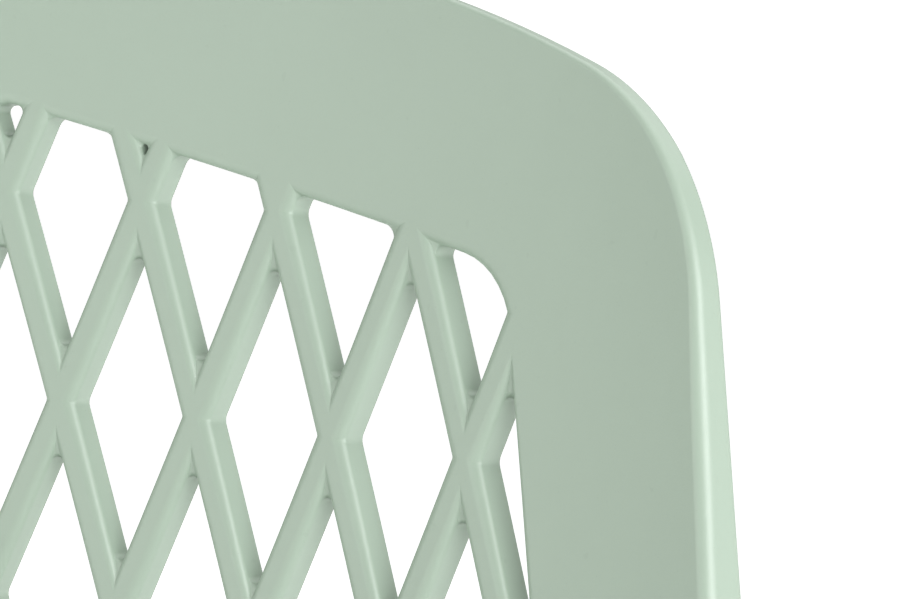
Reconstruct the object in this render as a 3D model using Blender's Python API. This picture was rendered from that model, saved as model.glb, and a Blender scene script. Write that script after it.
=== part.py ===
"""Stacking chair: a moulded diamond-lattice back and seat on a bent steel tube frame.

Metres, +Z up, the front of the chair faces -Y, and X = 0 is its plane of symmetry.
The origin is on the floor, under the middle of the chair's bounding box.
"""

import math

import bmesh
import bpy
from mathutils import Matrix, Vector, geometry

# ---- lattice of the back and the seat -------------------------------------------------
PITCH = 0.040            # width of one diamond
RISE = 0.0977            # height of one diamond
BAR = 0.0076             # width of a lattice bar
BAR_DEPTH = 0.0074       # depth of a lattice bar, front to rear
ACUTE_R = 0.0021         # radius in the sharp ends of a diamond
OBTUSE_R = 0.0006        # radius in the blunt ends of a diamond
SMALLEST_GAP = 0.0008    # part diamonds tighter than this are left solid
SIDE_BOW = 0.0002        # straight sides swell by this much in their middle

# ---- backrest ---------------------------------------------------------------------------
BACK_RADIUS = 0.410      # the back wraps round the sitter on this radius
RECLINE = math.radians(9.13)
BACK_Y = 0.2486           # where the middle of the back stands
BACK_Z = 0.700
CROWN_RADIUS = 0.478     # arc of the top edge
CROWN_TOP = 0.1138
SIDE_HALF = 0.2103       # half width of the back at its own zero height
SIDE_FLARE = 0.165        # how much wider it gets per unit down
SHOULDER_R = 0.0585       # radius between top and side
BACK_BOTTOM = -0.190
BOTTOM_CORNER_R = 0.020
OPEN_TOP = 0.0700         # the open field of the lattice
OPEN_TOP_FALL = 0.198
OPEN_HALF = 0.1560
OPEN_FLARE = 0.205       # the open field widens by this much per unit down
OPEN_BOTTOM = -0.148
OPEN_CORNER_R = 0.019
RIM_STEP = 0.004         # the thicker rim starts this far outside the open field
EDGE_DEPTH = 0.0086      # depth of the rim at zero height
EDGE_TAPER = 0.042       # it gets deeper downwards
EDGE_LIP = 0.0044        # least depth of the lip, at the crown
EDGE_INNER = 0.0079      # least depth of the rim beside the lattice
EDGE_MOST = 0.012

# ---- tube frame ---------------------------------------------------------------------------
TUBE_R = 0.010
TUBE_WALL = 0.0018
GAP = 0.0003
SOCKET_DEPTH = 0.013     # the upright runs this far behind the face of the back
SOCKET_R = 0.013         # outside of the socket moulded on the back
UPRIGHT_TOP = -0.085     # where the upright ends in its socket
KNEE_Z = 0.452
KNEE_R = 0.060
REAR_RAKE = 0.23         # rear legs run back this much per unit down
FRONT_RAKE = 0.20
SPLAY = 0.06             # all legs run outwards this much per unit down
RAIL_Z = 0.424           # rail axis where it meets the upright
RAIL_LENGTH = 0.335
SEAT_TILT = math.radians(2.5)
FRONT_HALF = 0.229       # half distance between the front legs at the seat
FRONT_BEND_R = 0.050
LEG_END = 0.014          # the tubes stop this far above the floor
FRONT_CROSS = 0.262      # distance of the cross rails from the upright
REAR_CROSS = 0.046

# ---- seat ---------------------------------------------------------------------------------
SEAT_DEPTH = 0.0090
SEAT_REAR_HALF = 0.197
SEAT_FRONT_HALF = 0.214
SEAT_LENGTH = 0.380
SEAT_BEHIND = 0.018      # the seat reaches this far behind the upright
SEAT_OPEN_HALF = 0.158
SEAT_OPEN_FRONT = 0.086
SEAT_OPEN_REAR = 0.046
NOSE_R = 0.070           # the front edge turns down on this radius
NOSE_TURN = math.radians(52)
TAIL_R = 0.160           # the rear edge turns up on this radius
TAIL_TURN = math.radians(12)

# ---- small parts ----------------------------------------------------------------------------
TAB_X = 0.181
TAB_REACH = 0.022
TAB_WIDTH = 0.026
TAB_THICK = 0.003
TAB_TOP = 0.0027
BOSS_R = 0.0075
SCREW_R = 0.0022
HEAD_R = 0.0045
BACK_SCREW_V = -0.152
GLIDE_R = 0.0135
BUMPER_THICK = 0.0024
BUMPER_LENGTH = 0.036

AROUND = 16              # sides of a round piece


# ---- outlines in the flat ---------------------------------------------------------------------
def half_plane(polygon, a, b, c):
    """The part of the polygon where a*u + b*v is at most c."""
    kept = []
    for (u0, v0), (u1, v1) in zip(polygon, polygon[1:] + polygon[:1]):
        d0 = a * u0 + b * v0 - c
        d1 = a * u1 + b * v1 - c
        if d0 <= 0:
            kept.append((u0, v0))
        if d0 * d1 < 0:
            t = d0 / (d0 - d1)
            kept.append((u0 + t * (u1 - u0), v0 + t * (v1 - v0)))
    return kept


def clipped(polygon, convex):
    """The part of the polygon inside a convex one that runs anticlockwise."""
    for (u0, v0), (u1, v1) in zip(convex, convex[1:] + convex[:1]):
        a, b = v1 - v0, u0 - u1
        polygon = half_plane(polygon, a, b, a * u0 + b * v0)
        if len(polygon) < 3:
            return []
    return polygon


def cleaned(polygon, least=0.0004):
    """The polygon without corners that nearly coincide."""
    kept = []
    for point in polygon:
        if not kept or math.dist(point, kept[-1]) > least:
            kept.append(point)
    if len(kept) > 1 and math.dist(kept[0], kept[-1]) <= least:
        kept.pop()
    return kept


def turn_at(polygon, i):
    p, q, r = Vector(polygon[i - 1]), Vector(polygon[i]), Vector(polygon[(i + 1) % len(polygon)])
    a, b = q - p, r - q
    return math.atan2(a.x * b.y - a.y * b.x, a.dot(b))


def rounded(polygon, radius_of, steps):
    """The polygon with each corner turned on the radius that radius_of(i, turn) gives."""
    out = []
    for i, corner in enumerate(polygon):
        turn = turn_at(polygon, i)
        radius = radius_of(i, turn)
        here = Vector(corner)
        back = Vector(polygon[i - 1]) - here
        ahead = Vector(polygon[(i + 1) % len(polygon)]) - here
        run = min(radius * math.tan(abs(turn) / 2), 0.47 * back.length, 0.47 * ahead.length)
        if radius <= 0 or run < 1e-5:
            out.append(corner)
            continue
        radius = run / math.tan(abs(turn) / 2)
        start = here + back.normalized() * run
        side = 1 if turn > 0 else -1
        inward = Vector((back.y, -back.x)).normalized() * side
        centre = start + inward * radius
        spoke = start - centre
        for step in range(steps + 1):
            spin = Matrix.Rotation(turn * step / steps, 2)
            out.append(tuple(centre + spin @ spoke))
    return out


def subdivided(polygon, longest):
    """The polygon with long sides split, each bowed out a hair so that no three corners line up."""
    out = []
    for p, q in zip(polygon, polygon[1:] + polygon[:1]):
        count = max(1, math.ceil(math.dist(p, q) / longest))
        along = Vector(q) - Vector(p)
        outward = Vector((along.y, -along.x)).normalized()
        for i in range(count):
            t = i / count
            out.append(tuple(Vector(p) + along * t + outward * (SIDE_BOW * 4 * t * (1 - t))))
    return out


def area_and_length(polygon):
    area = 0.0
    length = 0.0
    for p, q in zip(polygon, polygon[1:] + polygon[:1]):
        area += (p[0] * q[1] - q[0] * p[1]) / 2
        length += math.dist(p, q)
    return area, length


def inside(point, polygon):
    u, v = point
    found = False
    for (u0, v0), (u1, v1) in zip(polygon, polygon[1:] + polygon[:1]):
        if (v0 > v) != (v1 > v) and u < u0 + (v - v0) * (u1 - u0) / (v1 - v0):
            found = not found
    return found


def diamond_openings(field, row_v):
    """The gaps between the lattice bars, clipped to the open field."""
    half_u, half_v = PITCH / 2, RISE / 2
    shrink = 1 - BAR / 2 * math.hypot(half_u, half_v) / (half_u * half_v)
    reach_u = max(abs(p[0]) for p in field)
    reach_v = max(abs(p[1] - row_v) for p in field)
    openings = []
    for row in range(-int(reach_v / half_v) - 2, int(reach_v / half_v) + 3):
        for column in range(-int(reach_u / half_u) - 2, int(reach_u / half_u) + 3):
            if (row + column) % 2:
                continue
            u, v = column * half_u, row_v + row * half_v
            cell = [
                (u + half_u * shrink, v),
                (u, v + half_v * shrink),
                (u - half_u * shrink, v),
                (u, v - half_v * shrink),
            ]
            cell = cleaned(clipped(cell, field))
            if len(cell) < 3:
                continue
            area, length = area_and_length(cell)
            if 2 * area / length > SMALLEST_GAP:
                openings.append(cell)
    return openings


def opening_radius(i, turn):
    if abs(turn) < math.radians(25):
        return 0
    return ACUTE_R if turn > math.radians(110) else OBTUSE_R


# ---- a moulded panel ----------------------------------------------------------------------------
def fill(loops, keep, extra):
    """Triangles over the area where keep(u, v) holds, between loops of (id, u, v)."""
    points = []
    ids = []
    edges = []
    for loop in loops:
        first = len(points)
        for index, u, v in loop:
            points.append(Vector((u, v)))
            ids.append(index)
        count = len(loop)
        edges += [(first + i, first + (i + 1) % count) for i in range(count)]
    for index, u, v in extra:
        points.append(Vector((u, v)))
        ids.append(index)
    made = geometry.delaunay_2d_cdt(points, edges, [], 0, 1e-7, True)
    coords, faces, origin = made[0], made[2], made[3]
    beside = {}
    for face in faces:
        for a, b in zip(face, face[1:] + face[:1]):
            beside[(a, b)] = face
    out = []
    for face in faces:
        judged = face
        for _ in range(3):
            judged = past_sliver(judged, coords, beside)
        middle = sum((coords[i] for i in judged), Vector((0, 0))) / len(judged)
        if keep(middle.x, middle.y):
            out.append([ids[origin[i][0]] for i in face])
    return out


def past_sliver(face, coords, beside):
    """The face itself, or the one across its longest side if it has almost no width."""
    sides = list(zip(face, face[1:] + face[:1]))
    a, b = max(sides, key=lambda side: (coords[side[0]] - coords[side[1]]).length)
    area = abs(geometry.area_tri(*(coords[i] for i in face)))
    if area > 1e-6 * (coords[a] - coords[b]).length:
        return face
    return beside.get((b, a), face)


def panel(name, outline, openings, step, place, edge_depth, bar_depth, spacing):
    """A curved plate: openings through it, and a rim outside the loop called step that is deeper."""
    coords = []
    faces = []

    def level(loop, depth_of):
        ids = []
        for u, v in loop:
            ids.append(len(coords))
            coords.append(place(u, v, -depth_of(u, v)))
        return ids

    def wall(upper, lower, outward):
        for i in range(len(upper)):
            j = (i + 1) % len(upper)
            quad = [upper[i], lower[i], lower[j], upper[j]]
            faces.append(quad if outward else quad[::-1])

    def named(ids, loop):
        return [(i, u, v) for i, (u, v) in zip(ids, loop)]

    def face_depth(u, v):
        return 0.0

    def bar_back(u, v):
        return bar_depth

    def grid(keep):
        us = [p[0] for p in outline]
        vs = [p[1] for p in outline]
        points = []
        for i in range(math.ceil(min(us) / spacing), math.floor(max(us) / spacing) + 1):
            for j in range(math.ceil(min(vs) / spacing), math.floor(max(vs) / spacing) + 1):
                u, v = i * spacing, (j + 0.5 * (i % 2)) * spacing
                around = [(u + a * 0.006, v + b * 0.006) for a in (-1, 0, 1) for b in (-1, 0, 1)]
                if all(keep(*p) for p in around):
                    points.append((u, v))
        return points

    def solid_here(u, v):
        return inside((u, v), outline) and not any(inside((u, v), hole) for hole in openings)

    def rim_here(u, v):
        return inside((u, v), outline) and not inside((u, v), step)

    def bars_here(u, v):
        return inside((u, v), step) and not any(inside((u, v), hole) for hole in openings)

    front_rim = level(outline, face_depth)
    rear_rim = level(outline, edge_depth)
    wall(front_rim, rear_rim, True)
    front_holes = []
    rear_holes = []
    for hole in openings:
        upper = level(hole, face_depth)
        lower = level(hole, bar_back)
        wall(upper, lower, False)
        front_holes.append(named(upper, hole))
        rear_holes.append(named(lower, hole))
    shallow = level(step, bar_back)
    deep = level(step, edge_depth)
    wall(shallow, deep, False)
    extra = grid(solid_here)
    extra = named(level(extra, face_depth), extra)
    faces += fill([named(front_rim, outline)] + front_holes, solid_here, extra)
    behind = grid(rim_here)
    behind = named(level(behind, edge_depth), behind)
    rear = fill([named(rear_rim, outline), named(deep, step)], rim_here, behind)
    rear += fill([named(shallow, step)] + rear_holes, bars_here, [])
    faces += [face[::-1] for face in rear]
    mesh = bpy.data.meshes.new(name)
    mesh.from_pydata(coords, [], faces)
    return add(name, mesh)


# ---- objects ---------------------------------------------------------------------------------------
def add(name, mesh):
    mesh.validate()
    mesh.update()
    obj = bpy.data.objects.new(name, mesh)
    bpy.context.scene.collection.objects.link(obj)
    return obj


def combine(obj, tool, operation):
    """Joins or cuts the object with the tool, and removes the tool."""
    modifier = obj.modifiers.new(operation.lower(), "BOOLEAN")
    modifier.operation = operation
    modifier.solver = "EXACT"
    modifier.object = tool
    bpy.context.view_layer.update()
    graph = bpy.context.evaluated_depsgraph_get()
    mesh = bpy.data.meshes.new_from_object(obj.evaluated_get(graph))
    obj.modifiers.clear()
    obj.data = mesh
    bpy.data.objects.remove(tool)


def rest_at(obj, point):
    """Moves the object's own origin to the point, with its shape left where it is."""
    point = Vector(point)
    obj.data.transform(Matrix.Translation(-point))
    obj.location = point


def spin_basis(axis):
    axis = Vector(axis).normalized()
    side = axis.cross(Vector((0, 1, 0)))
    if side.length < 0.3:
        side = axis.cross(Vector((1, 0, 0)))
    side.normalize()
    return side, axis.cross(side).normalized()


def lofted(name, rings):
    """A closed skin over rings of the same number of points, capped at both ends."""
    count = len(rings[0])
    coords = [point for ring in rings for point in ring]
    faces = [list(range(count))[::-1]]
    for k in range(len(rings) - 1):
        for i in range(count):
            j = (i + 1) % count
            faces.append([k * count + i, k * count + j, (k + 1) * count + j, (k + 1) * count + i])
    faces.append([(len(rings) - 1) * count + i for i in range(count)])
    mesh = bpy.data.meshes.new(name)
    mesh.from_pydata(coords, [], faces)
    obj = add(name, mesh)
    face_out(obj)
    return obj


def face_out(obj):
    shape = bmesh.new()
    shape.from_mesh(obj.data)
    bmesh.ops.recalc_face_normals(shape, faces=shape.faces)
    if shape.calc_volume(signed=True) < 0:
        bmesh.ops.reverse_faces(shape, faces=shape.faces)
    shape.to_mesh(obj.data)
    shape.free()


def ring(centre, axis, radius, around=AROUND):
    side, other = spin_basis(axis)
    out = []
    for i in range(around):
        a = 2 * math.pi * i / around
        out.append(Vector(centre) + radius * (math.cos(a) * side + math.sin(a) * other))
    return out


def turned(name, start, axis, profile, around=AROUND):
    """A round solid on an axis, from (distance along the axis, radius) pairs."""
    axis = Vector(axis).normalized()
    rings = [ring(Vector(start) + axis * along, axis, radius, around) for along, radius in profile]
    return lofted(name, rings)


def bent_path(points, radii, steps=6):
    """The points with each inner corner replaced by an arc."""
    path = [Vector(points[0])]
    for i in range(1, len(points) - 1):
        p, q, r = Vector(points[i - 1]), Vector(points[i]), Vector(points[i + 1])
        back, ahead = (p - q).normalized(), (r - q).normalized()
        half = back.angle(ahead) / 2
        run = radii[i - 1] / math.tan(half)
        centre = q + (back + ahead).normalized() * radii[i - 1] / math.sin(half)
        first, last = q + back * run - centre, q + ahead * run - centre
        sweep = first.angle(last)
        normal = first.cross(last).normalized()
        for step in range(steps + 1):
            path.append(centre + Matrix.Rotation(sweep * step / steps, 3, normal) @ first)
    path.append(Vector(points[-1]))
    return path


def tube_rings(path, radius):
    """Rings square to the path, each carried on from the one before without twist."""
    rings = []
    side = spin_basis(path[1] - path[0])[0]
    for i, here in enumerate(path):
        before = path[max(i - 1, 0)]
        after = path[min(i + 1, len(path) - 1)]
        along = (after - before).normalized()
        side = (side - along * side.dot(along)).normalized()
        other = along.cross(side)
        loop = []
        for k in range(AROUND):
            a = 2 * math.pi * k / AROUND
            loop.append(here + radius * (math.cos(a) * side + math.sin(a) * other))
        rings.append(loop)
    return rings


def solid_tube(name, path, radius):
    return lofted(name, tube_rings(path, radius))


def hollow_tube(name, path):
    """A tube with open ends."""
    outer = tube_rings(path, TUBE_R)
    inner = tube_rings(path, TUBE_R - TUBE_WALL)
    rings = outer + inner[::-1]
    total = len(rings)
    coords = [point for loop in rings for point in loop]
    faces = []
    for k in range(total):
        n = (k + 1) % total
        for i in range(AROUND):
            j = (i + 1) % AROUND
            faces.append([k * AROUND + i, k * AROUND + j, n * AROUND + j, n * AROUND + i])
    mesh = bpy.data.meshes.new(name)
    mesh.from_pydata(coords, [], faces)
    obj = add(name, mesh)
    face_out(obj)
    return obj


def mirrored(point, side):
    return Vector((point[0] * side, point[1], point[2]))


# ---- where things are -------------------------------------------------------------------------------
def back_point(u, v, d):
    """A point of the back: u round it, v up it, d out of its face towards the sitter."""
    a = u / BACK_RADIUS
    x = (BACK_RADIUS - d) * math.sin(a)
    ahead = BACK_RADIUS - (BACK_RADIUS - d) * math.cos(a)
    y = BACK_Y + v * math.sin(RECLINE) - ahead * math.cos(RECLINE)
    z = BACK_Z + v * math.cos(RECLINE) + ahead * math.sin(RECLINE)
    return Vector((x, y, z))


def side_u(v):
    return SIDE_HALF - SIDE_FLARE * v


def stile_u(v):
    """The middle of the side stile."""
    return (side_u(v) + OPEN_HALF - OPEN_FLARE * v) / 2


def upright_corners():
    """Top end, knee and lower end of the right upright's axis."""
    top = back_point(stile_u(UPRIGHT_TOP), UPRIGHT_TOP, -SOCKET_DEPTH)
    low = back_point(stile_u(BACK_BOTTOM), BACK_BOTTOM, -SOCKET_DEPTH)
    knee = top + (low - top) * (top.z - KNEE_Z) / (top.z - low.z)
    return top, knee, leg_at(knee, LEG_END, REAR_RAKE)


def leg_at(start, z, rake):
    drop = start.z - z
    return start + Vector((SPLAY * drop, rake * drop, -drop))


def rail_start():
    return leg_at(upright_corners()[1], RAIL_Z, REAR_RAKE)


def seat_flat(x, ahead, up):
    """A point measured forward along the rails from the upright, and up square to them."""
    start = rail_start()
    y = start.y - ahead * math.cos(SEAT_TILT) + up * math.sin(SEAT_TILT)
    z = start.z + ahead * math.sin(SEAT_TILT) + up * math.cos(SEAT_TILT)
    return Vector((x, y, z))


def rail_corner():
    corner = seat_flat(FRONT_HALF, RAIL_LENGTH, 0)
    return corner


def rail_x(ahead):
    start = rail_start().x
    return start + (FRONT_HALF - start) * ahead / RAIL_LENGTH


def seat_point(u, v, d):
    """A point of the seat: u across it, v from its front edge to its rear edge, d up from its top."""
    nose, tail = NOSE_R * NOSE_TURN, TAIL_R * TAIL_TURN
    flat_end = SEAT_LENGTH - tail
    ahead = SEAT_LENGTH - SEAT_BEHIND - max(nose, min(v, flat_end))
    up = TUBE_R + 0.0005 + SEAT_DEPTH
    lean = 0.0
    if v < nose:
        lean = (nose - v) / NOSE_R
        ahead += NOSE_R * math.sin(lean)
        up -= NOSE_R * (1 - math.cos(lean))
    elif v > flat_end:
        lean = (v - flat_end) / TAIL_R
        ahead -= TAIL_R * math.sin(lean)
        up += TAIL_R * (1 - math.cos(lean))
    return seat_flat(u, ahead + d * math.sin(lean), up + d * math.cos(lean))


# ---- the moulded pieces ------------------------------------------------------------------------------
def crown_v(u):
    return CROWN_TOP - CROWN_RADIUS + math.sqrt(CROWN_RADIUS ** 2 - u * u)


def shoulder():
    """Centre of the arc that joins the crown to the side."""
    slope = math.atan(SIDE_FLARE)
    low, high = -0.05, 0.15
    for _ in range(60):
        v = (low + high) / 2
        u = side_u(v) - SHOULDER_R / math.cos(slope)
        reach = math.hypot(u, v - CROWN_TOP + CROWN_RADIUS)
        if reach > CROWN_RADIUS - SHOULDER_R:
            high = v
        else:
            low = v
    return u, v


def back_outline():
    u, v = shoulder()
    from_angle = math.atan(SIDE_FLARE)
    to_angle = math.atan2(v - CROWN_TOP + CROWN_RADIUS, u)
    right = [(side_u(BACK_BOTTOM), BACK_BOTTOM)]
    for i in range(9):
        a = from_angle + (to_angle - from_angle) * i / 8
        right.append((u + SHOULDER_R * math.cos(a), v + SHOULDER_R * math.sin(a)))
    last = right[-1][0]
    for i in range(1, 8):
        across = last * (1 - i / 8)
        right.append((across, crown_v(across)))
    left = [(-p[0], p[1]) for p in right[::-1]]
    outline = right + [(0.0, CROWN_TOP)] + left
    outline = rounded(outline, lambda i, turn: BOTTOM_CORNER_R if turn > 1 else 0, 4)
    return subdivided(outline, 0.026)


def back_field(grow):
    """The open field of the lattice, or a loop that far outside it."""
    side_grow = grow * math.hypot(1, OPEN_FLARE)
    top_grow = grow * math.hypot(1, OPEN_TOP_FALL)
    field = [(-0.5, OPEN_BOTTOM - grow), (0.5, OPEN_BOTTOM - grow), (0.5, 0.5), (-0.5, 0.5)]
    for side in (1, -1):
        field = half_plane(field, side, OPEN_FLARE, OPEN_HALF + side_grow)
        field = half_plane(field, side * OPEN_TOP_FALL, 1, OPEN_TOP + top_grow)
    radius = OPEN_CORNER_R + grow
    return rounded(field, lambda i, turn: radius if turn > 0.6 else 0, 4)


def rim_share(u, v):
    """0 beside the open field, 1 at the outline."""
    across, top = abs(u), OPEN_TOP - OPEN_TOP_FALL * abs(u)
    side = OPEN_HALF - OPEN_FLARE * v
    over_top = (v - top) / (crown_v(min(across, SIDE_HALF)) - top)
    over_side = (across - side) / (side_u(v) - side)
    return max(0.0, min(1.0, max(over_top, over_side)))


def back_edge_depth(u, v):
    """The rim thins towards its lip near the crown, and is deeper all through lower down."""
    lip = max(EDGE_LIP, min(EDGE_MOST, EDGE_DEPTH - EDGE_TAPER * v))
    inner = max(EDGE_INNER, lip)
    return inner + (lip - inner) * rim_share(u, v)


def make_backrest():
    openings = []
    for cell in diamond_openings(back_field(0), 0.0):
        openings.append(subdivided(rounded(cell, opening_radius, 2), 0.030))
    step = subdivided(back_field(RIM_STEP), 0.026)
    back = panel(
        "backrest", back_outline(), openings, step, back_point, back_edge_depth, BAR_DEPTH, 0.026
    )
    face_out(back)
    top, knee, _ = upright_corners()
    low = back_point(stile_u(BACK_BOTTOM), BACK_BOTTOM, -SOCKET_DEPTH)
    for side in (1, -1):
        start, end = mirrored(top, side), mirrored(low, side)
        along = (end - start).normalized()
        length = (end - start).length
        crown = [(-0.016, 0.004), (-0.011, 0.0095), (-0.003, SOCKET_R), (length, SOCKET_R)]
        combine(back, turned("socket", start, along, crown), "UNION")
        v = BACK_SCREW_V
        seat = mirrored(back_point(stile_u(v), v, -SOCKET_DEPTH), side)
        rear = (mirrored(back_point(stile_u(v), v, -2 * SOCKET_DEPTH), side) - seat).normalized()
        combine(back, turned("pad", seat, rear, [(0.006, 0.0085), (0.0180, 0.0080)]), "UNION")
        bore = [(-GAP, TUBE_R + GAP), (length + 0.02, TUBE_R + GAP)]
        combine(back, turned("bore", start, along, bore), "DIFFERENCE")
        hole = [(0.004, SCREW_R + GAP), (0.0135, SCREW_R + GAP), (0.0135, 0.0050), (0.030, 0.0050)]
        combine(back, turned("hole", seat, rear, hole), "DIFFERENCE")
    return back


def seat_outline():
    corners = [
        (-SEAT_FRONT_HALF, 0.0),
        (SEAT_FRONT_HALF, 0.0),
        (SEAT_REAR_HALF, SEAT_LENGTH),
        (-SEAT_REAR_HALF, SEAT_LENGTH),
    ]
    outline = rounded(corners, lambda i, turn: 0.045 if i < 2 else 0.030, 6)
    return subdivided(outline, 0.022)


def seat_field(grow):
    low = SEAT_OPEN_FRONT - grow
    high = SEAT_LENGTH - SEAT_OPEN_REAR + grow
    half = SEAT_OPEN_HALF + grow
    field = [(-half, low), (half, low), (half, high), (-half, high)]
    return rounded(field, lambda i, turn: OPEN_CORNER_R + grow, 4)


def seat_edge_depth(u, v):
    return SEAT_DEPTH


def make_seat():
    openings = []
    middle = (SEAT_OPEN_FRONT + SEAT_LENGTH - SEAT_OPEN_REAR) / 2
    for cell in diamond_openings(seat_field(0), middle):
        openings.append(subdivided(rounded(cell, opening_radius, 2), 0.030))
    step = subdivided(seat_field(RIM_STEP), 0.026)
    seat = panel(
        "seat", seat_outline(), openings, step, seat_point, seat_edge_depth, BAR_DEPTH, 0.022
    )
    face_out(seat)
    up = seat_flat(0, 0, 1) - seat_flat(0, 0, 0)
    for x, ahead in tab_places():
        foot = seat_flat(x, ahead, TAB_TOP + GAP)
        height = TUBE_R + 0.0005 + SEAT_DEPTH / 2 - TAB_TOP
        combine(seat, turned("boss", foot, up, [(0, BOSS_R), (height, BOSS_R)], 12), "UNION")
        deep = height + 0.0012
        hole = [(-0.01, SCREW_R + GAP), (deep, SCREW_R + GAP)]
        combine(seat, turned("hole", foot, up, hole, 12), "DIFFERENCE")
    return seat


# ---- the frame ----------------------------------------------------------------------------------------
def upright_path(side):
    top, knee, foot = (mirrored(p, side) for p in upright_corners())
    return bent_path([top, knee, foot], [KNEE_R])


def rail_path(side, start_inside=0.0):
    start, corner = rail_start(), rail_corner()
    foot = leg_at(corner, LEG_END, -FRONT_RAKE)
    points = [mirrored(p, side) for p in (start, corner, foot)]
    return bent_path(points, [FRONT_BEND_R])


def envelope(path):
    return solid_tube("envelope", path, TUBE_R + GAP)


def make_upright(name, side):
    upright = hollow_tube(name, upright_path(side))
    v = BACK_SCREW_V
    seat = mirrored(back_point(stile_u(v), v, -SOCKET_DEPTH), side)
    rear = mirrored(back_point(stile_u(v), v, -2 * SOCKET_DEPTH), side) - seat
    hole = [(0.004, SCREW_R + GAP), (0.016, SCREW_R + GAP)]
    combine(upright, turned("hole", seat, rear, hole, 12), "DIFFERENCE")
    rest_at(upright, mirrored(upright_corners()[1], side))
    return upright


def make_front_leg(name, side):
    leg = hollow_tube(name, rail_path(side))
    combine(leg, envelope(upright_path(side)), "DIFFERENCE")
    keep_largest(leg)
    rest_at(leg, mirrored(rail_corner(), side))
    return leg


def make_cross_rail(name, ahead):
    ends = [seat_flat(side * rail_x(ahead), ahead, 0) for side in (-1, 1)]
    rail = hollow_tube(name, ends)
    for side in (-1, 1):
        combine(rail, envelope(rail_path(side)), "DIFFERENCE")
    keep_largest(rail)
    rest_at(rail, seat_flat(0, ahead, 0))
    return rail


def keep_largest(obj):
    """Drops the crumbs that a coped end leaves beyond the tube it meets."""
    shape = bmesh.new()
    shape.from_mesh(obj.data)
    bmesh.ops.remove_doubles(shape, verts=shape.verts, dist=1e-6)
    left = set(shape.verts)
    islands = []
    while left:
        found = {left.pop()}
        edge = list(found)
        while edge:
            vert = edge.pop()
            for link in vert.link_edges:
                other = link.other_vert(vert)
                if other in left:
                    left.discard(other)
                    found.add(other)
                    edge.append(other)
        islands.append(found)
    islands.sort(key=len)
    crumbs = [vert for island in islands[:-1] for vert in island]
    bmesh.ops.delete(shape, geom=crumbs, context="VERTS")
    shape.to_mesh(obj.data)
    shape.free()


# ---- small parts ------------------------------------------------------------------------------------------
def tab_places():
    """Across and forward, for the four seat screws."""
    front, rear = FRONT_CROSS - TAB_REACH, REAR_CROSS + TAB_REACH
    return [(-TAB_X, front), (TAB_X, front), (-TAB_X, rear), (TAB_X, rear)]


def make_tab(name, x, ahead, cross):
    """A flat steel tab on a cross rail, with the screw hole near its free end."""
    far = ahead + math.copysign(0.010, ahead - cross)
    near = cross
    low, high = TAB_TOP - TAB_THICK, TAB_TOP
    rings = []
    for up in (low, high):
        loop = []
        for dx, along in ((-1, near), (1, near), (1, far), (-1, far)):
            loop.append(seat_flat(x + dx * TAB_WIDTH / 2, along, up))
        rings.append(loop)
    tab = lofted(name, rings)
    ends = [seat_flat(side * 0.21, cross, 0) for side in (-1, 1)]
    combine(tab, envelope(ends), "DIFFERENCE")
    up = seat_flat(0, 0, 1) - seat_flat(0, 0, 0)
    start = seat_flat(x, ahead, low - 0.005)
    hole = [(0, SCREW_R + GAP), (0.02, SCREW_R + GAP)]
    combine(tab, turned("hole", start, up, hole, 12), "DIFFERENCE")
    keep_largest(tab)
    rest_at(tab, seat_flat(x, ahead, TAB_TOP))
    return tab


def make_seat_screw(name, x, ahead):
    up = seat_flat(0, 0, 1) - seat_flat(0, 0, 0)
    base = TAB_TOP - TAB_THICK - GAP - 0.0026
    length = TUBE_R + 0.0005 + SEAT_DEPTH / 2 - base
    profile = [(0, 0.003), (0.0012, HEAD_R), (0.0026, HEAD_R), (0.0026, SCREW_R), (length, SCREW_R)]
    screw = turned(name, seat_flat(x, ahead, base), up, profile, 12)
    rest_at(screw, seat_flat(x, ahead, base))
    return screw


def back_screw_line(side):
    v = BACK_SCREW_V
    start = mirrored(back_point(stile_u(v), v, -SOCKET_DEPTH), side)
    rear = mirrored(back_point(stile_u(v), v, -2 * SOCKET_DEPTH), side) - start
    return start, rear.normalized()


def make_back_screw(name, side):
    start, rear = back_screw_line(side)
    profile = [(0.003, SCREW_R - GAP), (0.0138, SCREW_R - GAP), (0.0138, 0.0043), (0.0158, 0.0036)]
    screw = turned(name, start, rear, profile, 12)
    rest_at(screw, start + rear * 0.0138)
    return screw


def make_back_cap(name, side):
    start, rear = back_screw_line(side)
    cap = turned(name, start, rear, [(0.0163, 0.0047), (0.0176, 0.0047), (0.0184, 0.0038)], 16)
    rest_at(cap, start + rear * 0.0163)
    return cap


def leg_axis(start, rake):
    return (leg_at(start, start.z - 1, rake) - start).normalized()


def make_glide(name, corner, rake, side):
    """A moulded foot that is flat on the floor, with a stem up into the leg."""
    end = mirrored(leg_at(corner, LEG_END, rake), side)
    along = leg_axis(corner, rake)
    along = mirrored(along, side)
    floor = end + along * (end.z / -along.z)
    flat = Vector((0, 0, -1))
    side_axis, other = spin_basis(along)

    def level_ring(centre, radius):
        loop = []
        for i in range(AROUND):
            a = 2 * math.pi * i / AROUND
            spoke = math.cos(a) * side_axis + math.sin(a) * other
            spoke.z = 0
            loop.append(centre + spoke.normalized() * radius)
        return loop

    rings = [
        ring(end - along * 0.022, along, 0.0066),
        ring(end - along * 0.020, along, TUBE_R - TUBE_WALL - 2 * GAP),
        ring(end + along * GAP, along, TUBE_R - TUBE_WALL - 2 * GAP),
        ring(end + along * GAP, along, TUBE_R),
        level_ring(floor - flat * 0.0034, GLIDE_R),
        level_ring(floor - flat * 0.0012, GLIDE_R),
        level_ring(floor, GLIDE_R - 0.0014),
    ]
    glide = lofted(name, rings)
    rest_at(glide, floor)
    return glide


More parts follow.
